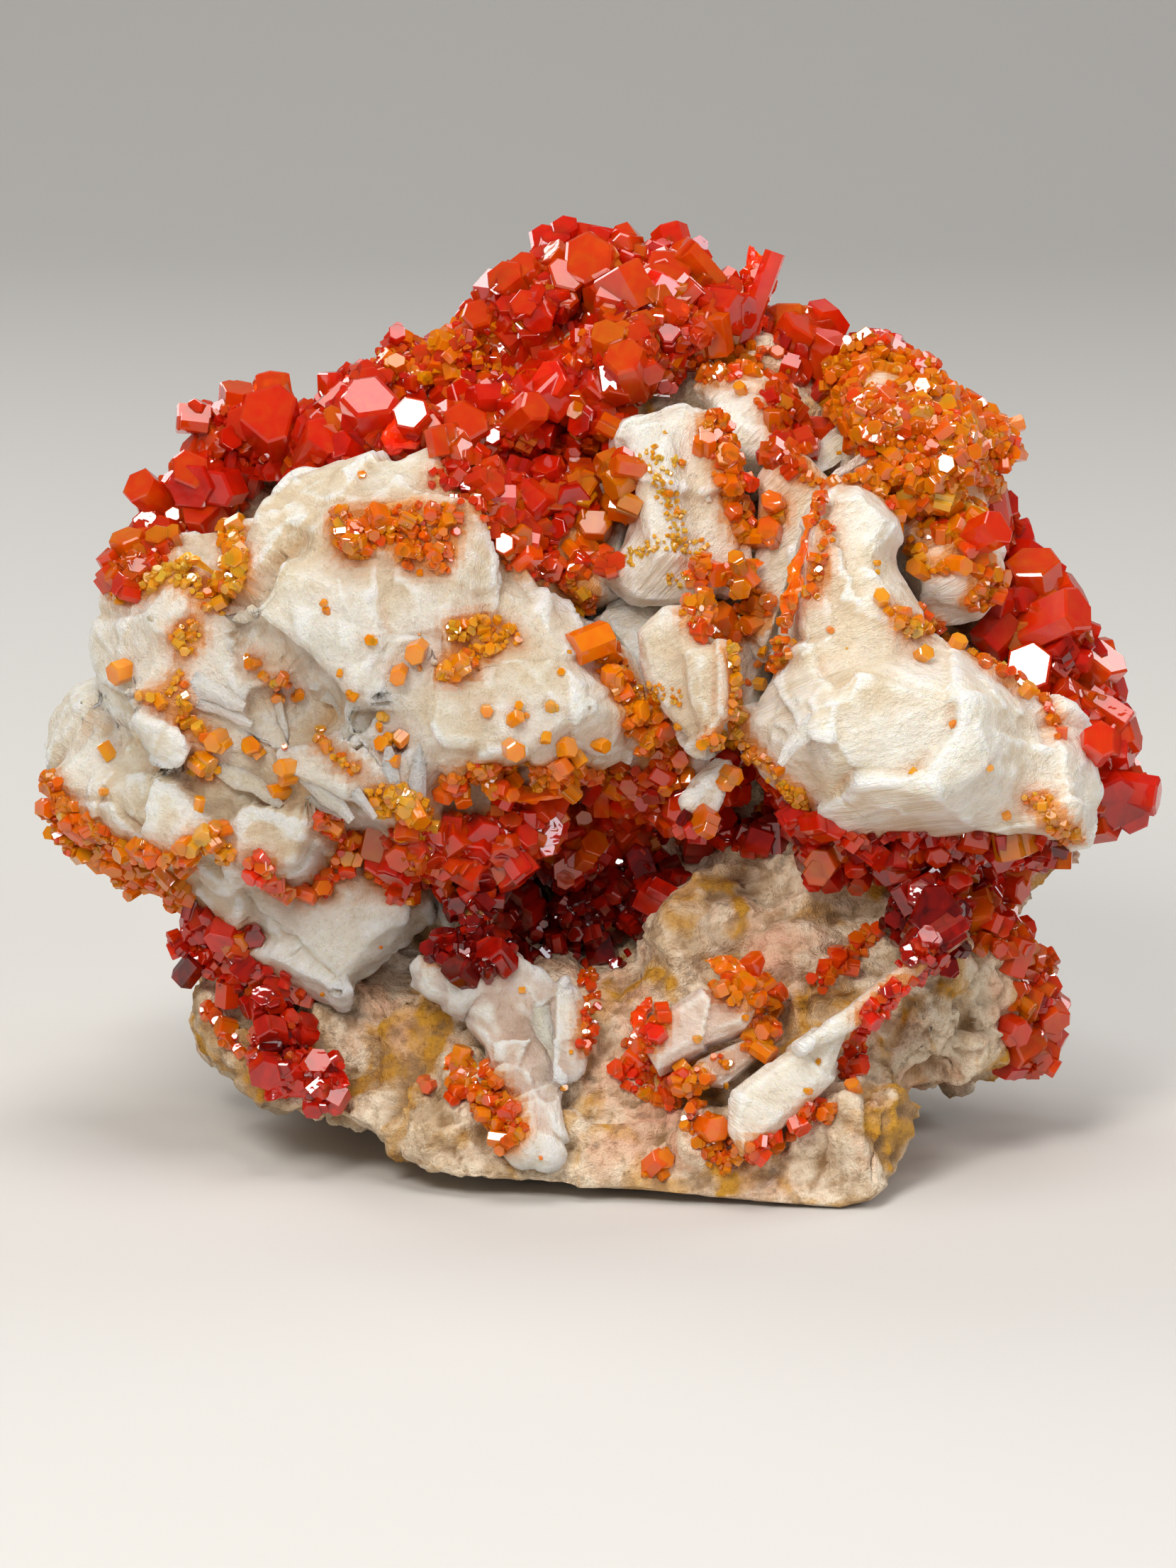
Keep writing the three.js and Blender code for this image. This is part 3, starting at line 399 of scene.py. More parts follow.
BARITES = [
    # name, cell, crevices filled, wear, strength, seed, direction of the cleavage steps
    ("left_mass", 0.18, 2.0, 3, 1.0, 41, (0.4, -0.6, 0.7)),
    ("right_mass", 0.18, 1.4, 4, 0.7, 52, (0.6, -0.4, -0.7)),
    ("centre_blade", 0.16, 0.8, 3, 0.6, 63, (1, -0.2, 0.1)),
    ("cream_slab", 0.2, 1.0, 4, 0.7, 64, (0.2, -0.3, 0.9)),
    ("centre_bed", 0.22, 1.0, 4, 0.8, 65, (0.2, -0.3, 0.9)),
    ("hook_blade", 0.14, 0.8, 3, 0.45, 66, (1, -0.3, 0.2)),
    ("tall_blade", 0.16, 0.6, 3, 0.45, 67, (1, -0.2, 0.1)),
    ("back_blade", 0.18, 0.8, 4, 0.6, 68, (1, -0.2, 0.3)),
    ("dome_core", 0.22, 1.0, 4, 0.8, 69, (0.2, -0.3, 0.9)),
    ("lower_blade", 0.1, 0, 0, 1.3, 70, (1, -0.2, -0.3)),
    ("square_slab", 0.09, 0, 0, 0.3, 71, (0.6, -0.2, 0.8)),
    ("under_slab", 0.09, 0, 0, 0.3, 72, (0.6, -0.2, 0.8)),
    ("lath", 0.09, 0, 0, 0.25, 73, (-0.7, -0.2, 0.7)),
    ("fins", 0.1, 0, 0, 0.3, 74, (1, -0.2, 0.1)),
    ("chip", 0.1, 0, 0, 0.4, 75, (1, -0.2, 0.1)),
    ("rear_mass", 0.3, 1.5, 4, 0.9, 76, (0.3, 0.6, 0.7)),
]

# Silky barite: milk white to cream, glowing softly as light soaks about 2 mm in. Threads of sheen fan out
# from the heart of the spray, ochre dust and painted warm shade lie in the hollows, and a painted highlight
# whitens the edges.
SILK_REACH = 12  # mm from the heart of the spray to the middle of the masses
SILK_WIDTH = 0.4  # mm across a thread there; the real ones are a tenth of that, too fine to show
silky, tree = new_material("silky white barite")
place = lay(tree, "TexCoord").outputs["Object"]
clouds = lay(tree, "TexNoise", inputs={
    "Vector": place, "Scale": cells_of(6.7), "Detail": 4, "Roughness": 0.6,
})
milk = lay(tree, "ValToRGB", stops=[
    (0.3, "#e6cfac"), (0.43, "#ecdec5"), (0.53, "#f6efe2"), (0.66, "#ece9df"),
], inputs={"Fac": clouds})
dust = lay(tree, "TexNoise", inputs={"Vector": place, "Scale": cells_of(2.4), "Detail": 5, "Roughness": 0.65})
hollow = lay(tree, "Attribute", attribute_name="hollow")
hollows = lay(tree, "MapRange", inputs={"Value": hollow.outputs["Fac"], "From Min": 0.04, "From Max": 0.26})
dust_share = lay(tree, "MapRange", inputs={"Value": dust, "From Min": 0.42, "From Max": 0.66})
# Hollows take a warm tan where the dust noise allows: partly ochre dust, partly painted warm shade.
dust_and_shade_share = lay(tree, "Math", operation="MULTIPLY", inputs={0: hollows, 1: dust_share})
stain_and_shade = lay(tree, "Mix", data_type="RGBA", inputs={0: dust_and_shade_share, 6: milk, 7: linear("#dcb27e")})
# Convex edges are whitened: a painted highlight.
edges = lay(tree, "MapRange", inputs={"Value": hollow.outputs["Fac"], "From Min": -0.01, "From Max": -0.08})
edge_highlighted = lay(tree, "Mix", data_type="RGBA", inputs={0: edges, 6: stain_and_shade.outputs[2], 7: linear("#fffcf4")})
# Near the crystals an orange tint is multiplied in from the glow attribute: painted light cast by the
# crystals.
glow_share = lay(tree, "Attribute", attribute_name="glow")
tinted = lay(tree, "Mix", data_type="RGBA", blend_type="MULTIPLY", inputs={
    0: glow_share.outputs["Fac"], 6: edge_highlighted.outputs[2], 7: linear("#eca05c"),
})
outward = lay(tree, "VectorMath", operation="SUBTRACT", inputs={0: place, 1: tuple(SPRAY * MM)})
way = lay(tree, "VectorMath", operation="NORMALIZE", inputs={0: outward})
silk = lay(tree, "TexNoise", inputs={
    "Vector": way, "Scale": SILK_REACH / SILK_WIDTH, "Detail": 5, "Roughness": 0.75,
})
thread = lay(tree, "ValToRGB", stops=[
    (0.36, "#e0d6c6"), (0.46, "#f7f4ee"), (0.54, "#ffffff"),
], inputs={"Fac": silk})
threaded = lay(tree, "Mix", data_type="RGBA", blend_type="MULTIPLY", inputs={
    0: 0.5, 6: tinted.outputs[2], 7: thread,
})
sugar = lay(tree, "TexNoise", inputs={"Vector": place, "Scale": cells_of(0.6), "Detail": 4, "Roughness": 0.7})
silk_bump = lay(tree, "Bump", inputs={"Height": silk, "Strength": 0.9, "Distance": 0.0007})
sugar_bump = lay(tree, "Bump", inputs={
    "Height": sugar, "Strength": 0.7, "Distance": 0.00016, "Normal": silk_bump,
})
sheen = lay(tree, "MapRange", inputs={"Value": silk, "To Min": 0.18, "To Max": 0.48})
surface = lay(tree, "BsdfPrincipled", inputs={
    "Base Color": threaded.outputs[2], "Roughness": sheen, "IOR": 1.64,
    "Subsurface Weight": 0.42, "Subsurface Radius": (1.0, 0.72, 0.42), "Subsurface Scale": 0.0018,
    "Normal": sugar_bump,
})
lay(tree, "OutputMaterial", inputs={"Surface": surface})

# Barite on the foot, the lowest parts: the same silk in a darker, rosy grey range.
rosy = silky.copy()
rosy.name = "rosy weathered barite"
rosy_stops = rosy.node_tree.nodes[milk.name].color_ramp.elements
for stop, code in zip(rosy_stops, ("#d0ae98", "#dfc6b4", "#f0e4da", "#e6dcd6")):
    stop.color = linear(code)
ROSY = ("lower_blade", "square_slab", "under_slab")

barites = []
for name, cell, fill, wear, *numbers in BARITES:
    node = "barite_" + name
    mass = skin(node + "_surface", node, cell, fill, wear, barite_shape, *numbers)
    enter(mass, rosy if name in ROSY else silky, node)
    barites.append(mass)


# ---- Vanadinite ----
# Lead chlorovanadate in stout six-sided prisms, deep red where they are thick and orange to amber
# where they are small. They stand on the barite and rock in crusts, with flat glassy ends.


def attribute_of(piece, name):
    """One number for each point of the piece."""
    values = np.empty(len(piece.data.vertices))
    piece.data.attributes[name].data.foreach_get("value", values)
    return values


def cloud_of(pieces):
    """All the points of the pieces, in mm, and their outward normals."""
    return (np.concatenate([in_mm(piece.data, kind) for piece in pieces]) for kind in ("co", "normal"))


def face_direction(name):
    """The direction a run of crystals is seen from, as the display face's right, up and out."""
    ways = {
        "front": (0, 0, 1), "top": (0, 0.8, 0.6), "right": (1, 0.15, 0.3),
        "low left": (-0.8, -0.5, 0.5), "under": (0, -0.7, 0.7), "rear": (0, 0.35, -1),
    }
    return unit(np.array([ways[name]], float) @ FACE_AXES)[0]


PROBE = 0.5  # mm round a line within which a point counts as lying on it


def landing(points, at, way):
    """For each point in `at`, the outermost point of the cloud close to the line through it along `way`."""
    found = []
    for spot in at:
        offset = points - spot
        along = offset @ way
        aside = np.linalg.norm(offset - along[:, None] * way, axis=1)
        near = np.flatnonzero(aside < PROBE)
        if len(near):
            found.append(points[near[np.argmax(along[near])]])
    return np.array(found)


def spaced(points, gap, rng):
    """Numbers of randomly chosen points, one in each cell of a lattice `gap` mm wide."""
    order = rng.permutation(len(points))
    cells = np.floor(points[order] / gap + rng.random(3)).astype(np.int64)
    _, first = np.unique(cells, axis=0, return_index=True)
    return order[first]


RING = 6  # corners of a prism's ring
CORNERS = 3 * RING
SUNK = 0.35  # share of a prism's length that lies below its foot


def prisms(foot, axis, radius, length, spin, rng):
    """Corners and faces of many six-sided prisms. Side k of a prism is the line at distance d_k from
    its axis, at 60 k degrees, and a corner is where two neighbouring lines meet. The rings are the
    sunk end, the shoulder, and the table, drawn in by the chamfer."""
    count = len(foot)
    side = unit(np.cross(axis, np.where(np.abs(axis[:, :1]) < 0.8, [[1.0, 0, 0]], [[0, 1.0, 0]])))
    across = np.cross(axis, side)
    turns = spin[:, None] + np.arange(RING) * math.pi / 3
    reach = radius[:, None] * rng.uniform(0.8, 1.1, (count, RING)) * math.cos(math.pi / RING)
    chamfer = (radius * rng.uniform(0.03, 0.16, count))[:, None]

    def ring(distance, height):
        after, turn_after = np.roll(distance, -1, 1), np.roll(turns, -1, 1)
        x = (distance * np.sin(turn_after) - after * np.sin(turns)) / math.sin(math.pi / 3)
        y = (after * np.cos(turns) - distance * np.cos(turn_after)) / math.sin(math.pi / 3)
        return (
            foot[:, None] + x[..., None] * side[:, None] + y[..., None] * across[:, None]
            + height[..., None] * axis[:, None]
        )

    low, high = (-SUNK * length)[:, None], ((1 - SUNK) * length)[:, None]
    corners = np.concatenate([
        ring(reach, low), ring(reach, high - 0.8 * chamfer), ring(reach - chamfer, high),
    ], axis=1).reshape(-1, 3)
    step = np.arange(RING)
    beside = (step + 1) % RING
    side_faces = np.column_stack([step, beside, beside + RING, step + RING])
    quads = np.concatenate([side_faces, side_faces + RING])
    first = np.arange(count)[:, None, None] * CORNERS
    walls = (quads[None] + first).reshape(-1, 4).tolist()
    ends = np.array([step[::-1], step + 2 * RING])
    ends = (ends[None] + first).reshape(-1, RING).tolist()
    return corners, walls + ends


def crystals(name, foot, normal, radius, stout, fan, tone, rng, company=0.6):
    """A joined mesh of prisms, each standing at its foot and leaning from the normal by up to `fan`. A share
    of them, `company`, has a neighbour 0.5 to 0.85 as thick grown beside it on nearly the same axis. The
    attribute "tone" goes from 0, dark red, to 1, amber, and is the same all over one prism."""
    axis = unit(normal + fan * rng.normal(0, 0.6, foot.shape))
    spin = rng.uniform(0, math.pi / 3, len(foot))
    length = 2 * radius * rng.uniform(*stout, len(foot))
    with_one = rng.random(len(foot)) < company
    aside = unit(np.cross(axis[with_one], rng.normal(0, 1, (int(with_one.sum()), 3))))
    near = foot[with_one] + aside * (radius[with_one] * rng.uniform(0.6, 1.0, len(aside)))[:, None]
    less = rng.uniform(0.5, 0.85, len(aside))
    foot = np.concatenate([foot, near])
    axis = unit(np.concatenate([axis, axis[with_one] + rng.normal(0, 0.04, aside.shape)]))
    spin = np.concatenate([spin, spin[with_one]])
    tone = np.concatenate([tone, tone[with_one]])
    length = np.concatenate([length, length[with_one] * rng.uniform(0.7, 1.05, len(aside))])
    radius = np.concatenate([radius, radius[with_one] * less])
    corners, faces = prisms(foot, axis, radius, length, spin, rng)
    piece = new_mesh(name, corners, faces, False)
    mark(piece.data, "tone", np.repeat(np.clip(tone, 0, 1), CORNERS))
    return piece, foot


def vanadinite(name, roughness, clear, grain):
    """A surface from red to amber by the attribute "tone", with faint veils in it and `grain` of bump."""
    material, tree = new_material(name)
    place = lay(tree, "TexCoord").outputs["Object"]
    tone = lay(tree, "Attribute", attribute_name="tone")
    veils = lay(tree, "TexNoise", inputs={
        "Vector": place, "Scale": cells_of(0.9), "Detail": 3, "Distortion": 0.8,
    })
    shift = lay(tree, "MapRange", inputs={"Value": veils, "To Min": -0.17, "To Max": 0.17})
    mixed_tone = lay(tree, "Math", operation="ADD", inputs={0: tone.outputs["Fac"], 1: shift})
    hue = lay(tree, "ValToRGB", stops=[
        (0.0, "#6a0a06"), (0.14, "#c01a0c"), (0.3, "#ff2a0a"), (0.46, "#ff500c"),
        (0.62, "#ff7806"), (0.8, "#ff9808"), (1.0, "#ffb83c"),
    ], inputs={"Fac": mixed_tone})
    waves = lay(tree, "TexNoise", inputs={"Vector": place, "Scale": cells_of(0.65), "Detail": 2})
    wave_bump = lay(tree, "Bump", inputs={"Height": waves, "Strength": grain, "Distance": 0.0001})
    surface = lay(tree, "BsdfPrincipled", inputs={
        "Base Color": hue, "Roughness": roughness, "IOR": 1.7, "Transmission Weight": clear,
        "Subsurface Weight": 0.5, "Subsurface Radius": (1.0, 0.3, 0.06), "Subsurface Scale": 0.0007,
        "Normal": wave_bump,
    })
    lay(tree, "OutputMaterial", inputs={"Surface": surface})
    return material


# Large prisms: resin-red to orange, glassy, and clear enough to glow at the edges.
glassy = vanadinite("glassy vanadinite", 0.03, 0.45, 0.1)
# Small prisms: the same, but fine growth lines break up the gloss and the clearness.
glassy_small = vanadinite("small glassy vanadinite", 0.05, 0.25, 0.2)
# The crust between them: opaque, sugary and a little darker.
crust_red = vanadinite("intergrown vanadinite crust", 0.15, 0.0, 0.5)


def bed_shape(points, sunk):
    """A rubble of crystals: broken faces about 1 mm and 0.5 mm across, `sunk` mm inside the frame."""
    return 0.5 * broken(points, 1.1, 91)[0] + 0.2 * broken(points, 0.5, 95)[0] - sunk, points[:, 0] * 0


# Crusts of small crystals only, whose beds lie deeper.
BED_DEPTH, FINE_BED_DEPTH = 0.3, 0.5
FINE_CRUSTS = (
    "left_rim", "block_group", "left_shelf", "left_lip", "centre_chain", "hook_left", "hook_top", "seam",
    "gully", "blade_patch", "slab_left", "slab_top", "lath_left", "lath_right",
)
beds = {}
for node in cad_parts:
    if node.startswith("vanadinite"):
        sunk = FINE_BED_DEPTH if node.removeprefix("vanadinite_") in FINE_CRUSTS else BED_DEPTH
        bed = skin(node + "_bed", node, 0.26, 0, 1, bed_shape, sunk)
        bed.data.shade_flat()
        beds[node] = bed

host_points, host_normals = cloud_of([rock, *barites, *beds.values()])

# Ranges of prism radius, the gap between feet (both mm), and the share of feet used.
LARGE = [
    ((1.05, 1.4), 3.2, 0.5), ((0.75, 1.15), 2.0, 0.7), ((0.45, 0.72), 1.1, 0.85), ((0.2, 0.38), 0.6, 0.8),
]
STOUT = [((0.55, 0.85), 1.5, 0.7), ((0.32, 0.52), 0.8, 0.9), ((0.16, 0.28), 0.46, 0.8)]
SMALL = [((0.32, 0.5), 0.95, 0.7), ((0.2, 0.32), 0.52, 0.9), ((0.11, 0.18), 0.34, 0.7)]
TINY = [((0.18, 0.3), 0.55, 0.8), ((0.1, 0.17), 0.32, 0.8)]
DUST = [((0.07, 0.13), 0.27, 0.75)]

# Means and spreads of the tone. DARK, BROWN and DEEP go to the crusts in the cave, under the overhangs and on
# the heel: their darkness is partly the crystals' own deep red and partly painted shade.
DARK, BROWN, DEEP, RED = (0.07, 0.06), (0.27, 0.12), (0.27, 0.12), (0.38, 0.1)
BRIGHT, ORANGE, AMBER, OCHRE = (0.48, 0.09), (0.62, 0.09), (0.78, 0.09), (0.93, 0.07)

feet = []


def sown(name, away, candidates, reach, sizes, tone, seed, fan=0.9):
    """A crust of crystals on the candidate points, at full density on the path and falling to none at
    `reach` mm away from it."""
    rng = np.random.default_rng(seed)
    close = candidates[away < reach]
    nearness = away[away < reach]
    chosen, radius = [], []
    for radii, gap, share in sizes:
        some = spaced(host_points[close], gap, rng)
        some = some[rng.random(len(some)) < share * (1 - rise(nearness[some], 0.55 * reach, reach))]
        chosen.append(close[some])
        radius.append(rng.uniform(*radii, len(some)))
    chosen, radius = np.concatenate(chosen), np.concatenate(radius)
    shade = rng.normal(*tone, len(chosen))
    foot = host_points[chosen] + host_normals[chosen] * np.minimum(0.2 * radius, 0.12)[:, None]
    piece, all_feet = crystals(name, foot, host_normals[chosen], radius, (0.6, 1.2), fan, shade, rng)
    if sizes is not DUST:
        feet.append(all_feet)
    enter(piece, glassy if sizes in (LARGE, STOUT) else glassy_small)
    return piece


def drawn_out(path, count=8):
    """The path with `count` points along each of its stretches."""
    line = np.atleast_2d(np.array(path, float))
    steps = np.linspace(0, len(line) - 1, count * (len(line) - 1) + 1)
    return np.column_stack([np.interp(steps, np.arange(len(line)), line[:, k]) for k in range(line.shape[1])])


def druse(node, path, side, reach, sizes, tone, seed):
    """The crust that stands for a frame node, along a path (right, up, out) on the display face, landed on
    what lies under it, seen from `side`."""
    line = drawn_out([(*p, 0) if len(p) == 2 else p for p in path])
    spots = landing(host_points, on_face(line), face_direction(side))
    away = np.full(len(host_points), np.inf)
    for spot in spots:
        away = np.minimum(away, np.linalg.norm(host_points - spot, axis=1))
    return sown(node + "_crystals", away, np.arange(len(host_points)), reach, sizes, tone, seed)


DRUSES = [
    # name, path on the display face, seen from, reach, sizes, tone
    ("ridge_left", [(-20.2, 30.4), (-19.6, 32.4), (-18.2, 33.8, 1), (-15.8, 35), (-13, 34.8, 3)],
     "top", 3, LARGE, RED),
    ("ridge_middle", [(-12.4, 35, 4), (-10, 36.2, 3), (-7.6, 36, 4), (-5.4, 35.6, 4)], "top", 3, LARGE, RED),
    ("ridge_rear", [(-11, 37.4), (-8, 38.6), (-6, 39.4), (-4, 40.2, -1)], "top", 3, STOUT, RED),
    ("slope", [(-5, 33), (-3.8, 35.6), (-1.6, 37.4), (0, 35.8), (-1.4, 34), (-2.6, 31.8)],
     "front", 2.4, STOUT, RED),
    ("peak", [(-3, 41.4), (-0.4, 42.6, -1), (2.2, 42.8, -1), (4.8, 41.6, -1), (3.6, 39.8, 1), (0.6, 39.8, 1)],
     "top", 3, LARGE, RED),
    ("spike", [(6, 38.4, -2), (7.4, 38.4, -3)], "top", 1.2, SMALL, RED),
    ("right_shoulder", [(9.4, 38.2, -3), (11.4, 37.8, -3.4), (13.4, 36.8, -4)], "top", 2.8, LARGE, RED),
    ("above_blade", [(0.2, 38), (2, 37.8), (3.8, 38.4)], "front", 2, STOUT, BRIGHT),
    ("dome_crest", [(11.2, 36.6), (13, 37.4), (15, 36.4), (16.8, 34.8), (17.8, 32.8)],
     "top", 2.2, SMALL, ORANGE),
    ("dome_face", [(11.6, 34.8), (14, 35.2), (15.6, 33.8), (13.6, 32.4), (15.8, 31.6)],
     "front", 2.4, SMALL, ORANGE),
    ("right_flank", [(18.6, 26.8), (20.4, 25.4), (21.6, 23.8), (22.4, 21.6), (22.8, 19.6), (22, 17.6)],
     "right", 3, LARGE, RED),
    ("right_shoulder_low", [(17.4, 30.6, -2), (18.4, 29.2, -2), (19.2, 27.6, -2)], "right", 2.6, LARGE, RED),
    ("right_tail", [(21.8, 16, 2), (21.2, 14.6, 2), (20.4, 13, 2)], "right", 2.2, STOUT, DEEP),
    ("overhang_right", [(6.6, 17.2, 7), (10, 16, 8), (13, 16, 8), (16.4, 15.8, 7), (19.6, 15.6, 6)],
     "under", 2, STOUT, DEEP),
    ("dark_group", [(13.6, 12.4), (15.8, 12.8)], "front", 2, STOUT, DARK),
    ("right_foot", [(18.4, 13.2, 4), (20, 12, 2), (19.8, 9.6, 2), (19.4, 7.4, 2)],
     "right", 2.2, STOUT, BRIGHT),
    ("under_left_mass", [(-8.4, 15), (-5.4, 15.2), (-3.6, 15.6), (-2, 16.6), (0, 17), (2.4, 18)],
     "front", 2.2, STOUT, RED),
    ("cave_wall", [(-6, 12.6), (-3, 13.4), (-0.6, 13), (2, 14)], "front", 2.6, STOUT, DARK),
    ("left_rim", [(-24.2, 18, 4.6), (-22.6, 16.2, 5), (-20.6, 14.8, 5), (-18.6, 13.2, 5)],
     "low left", 1, SMALL, ORANGE),
    ("left_heel", [(-18, 12.4, 3), (-15.6, 10, 4), (-13.8, 8, 4), (-14.8, 6.4, 4), (-12.4, 5.8, 5)],
     "front", 1.6, STOUT, BROWN),
    ("block_group", [(-11.4, 30.6), (-10.2, 29.8), (-9, 30.6), (-7.8, 29.6), (-6.4, 30), (-7.6, 28.4)],
     "front", 1.1, SMALL, ORANGE),
    ("left_shelf", [(-20.8, 28.4), (-18.8, 28.6), (-16.6, 27.4)], "front", 0.7, TINY, OCHRE),
    ("left_lip", [(-6.4, 18.2), (-5, 19), (-3.4, 18.8), (-1, 18.8), (1, 18.4)], "front", 0.9, SMALL, ORANGE),
    ("centre_chain", [(-4.2, 31), (-3.2, 29.6), (-2.2, 28.4), (-0.6, 29.2)], "front", 1, SMALL, BRIGHT),
    ("hook_left", [(0.6, 25.4), (1.6, 23), (2.6, 21), (3.6, 19.2), (2.6, 18.2)], "front", 0.9, SMALL, ORANGE),
    ("hook_top", [(4.8, 28.6), (6.4, 28.4), (6.6, 26.6), (5.2, 26), (5, 27.2)], "front", 0.9, SMALL, ORANGE),
    ("seam", [(10.4, 31.6), (9.9, 30), (9.3, 28.2), (8.7, 26.4), (8.1, 24.8), (7.2, 23.6)],
     "front", 0.35, TINY, ORANGE),
    ("gully", [(5.8, 35), (6.6, 33), (6.8, 30.6)], "front", 0.9, SMALL, ORANGE),
    ("blade_patch", [(-6, 6.4), (-5, 5), (-4.2, 3.6)], "front", 0.9, SMALL, ORANGE),
    ("slab_left", [(2.2, 8.6), (1.4, 7), (2.4, 5.4), (3.8, 5)], "front", 0.75, SMALL, BRIGHT),
    ("slab_top", [(5.6, 10.4), (7.2, 10), (8, 8.8), (7.6, 7.8)], "front", 0.75, SMALL, ORANGE),
    ("lath_left", [(4.2, 5), (4.8, 3.2), (5.8, 1.8)], "front", 0.85, SMALL, ORANGE),
    ("lath_right", [(11.4, 6.4), (12.6, 8.4), (13.8, 9.8)], "front", 0.6, SMALL, RED),
    ("rear_crest", [(-12, 34, -8), (-8, 36, -9), (-3, 37.4, -10), (2, 37, -10)], "rear", 2.8, LARGE, RED),
]

BED_DARKER = 0.04
for seed, (name, path, side, reach, sizes, tone) in enumerate(DRUSES, 100):
    node = "vanadinite_" + name
    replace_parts(druse(node, path, side, reach, sizes, tone, seed), node)
    bed = beds[node]
    mark(bed.data, "tone", np.full(len(bed.data.vertices), tone[0] - BED_DARKER))
    enter(bed, crust_red, node)

# Smaller druses, only on the display face. A point shows there if it is among the outermost over its own
# small square of that face.
face_points = (host_points - FACE_ORIGIN) @ FACE_AXES.T
SQUARE = 0.35  # mm
SHOWN_DEPTH = 0.5  # mm behind the outermost point of a square that still shows
squares = np.floor(face_points[:, :2] / SQUARE).astype(np.int64)
squares = squares - squares.min(0)
square_number = squares[:, 0] * (squares[:, 1].max() + 1) + squares[:, 1]
outermost = np.full(square_number.max() + 1, -np.inf)
np.maximum.at(outermost, square_number, face_points[:, 2])
showing = np.flatnonzero(face_points[:, 2] > outermost[square_number] - SHOWN_DEPTH)


def patch(name, path, reach, sizes, tone, seed):
    """A crust along a path (right, up) on the display face, on whatever shows there."""
    away = np.full(len(showing), np.inf)
    for spot in drawn_out(path):
        away = np.minimum(away, np.linalg.norm(face_points[showing, :2] - spot, axis=1))
    return sown(name, away, showing, reach, sizes, tone, seed)


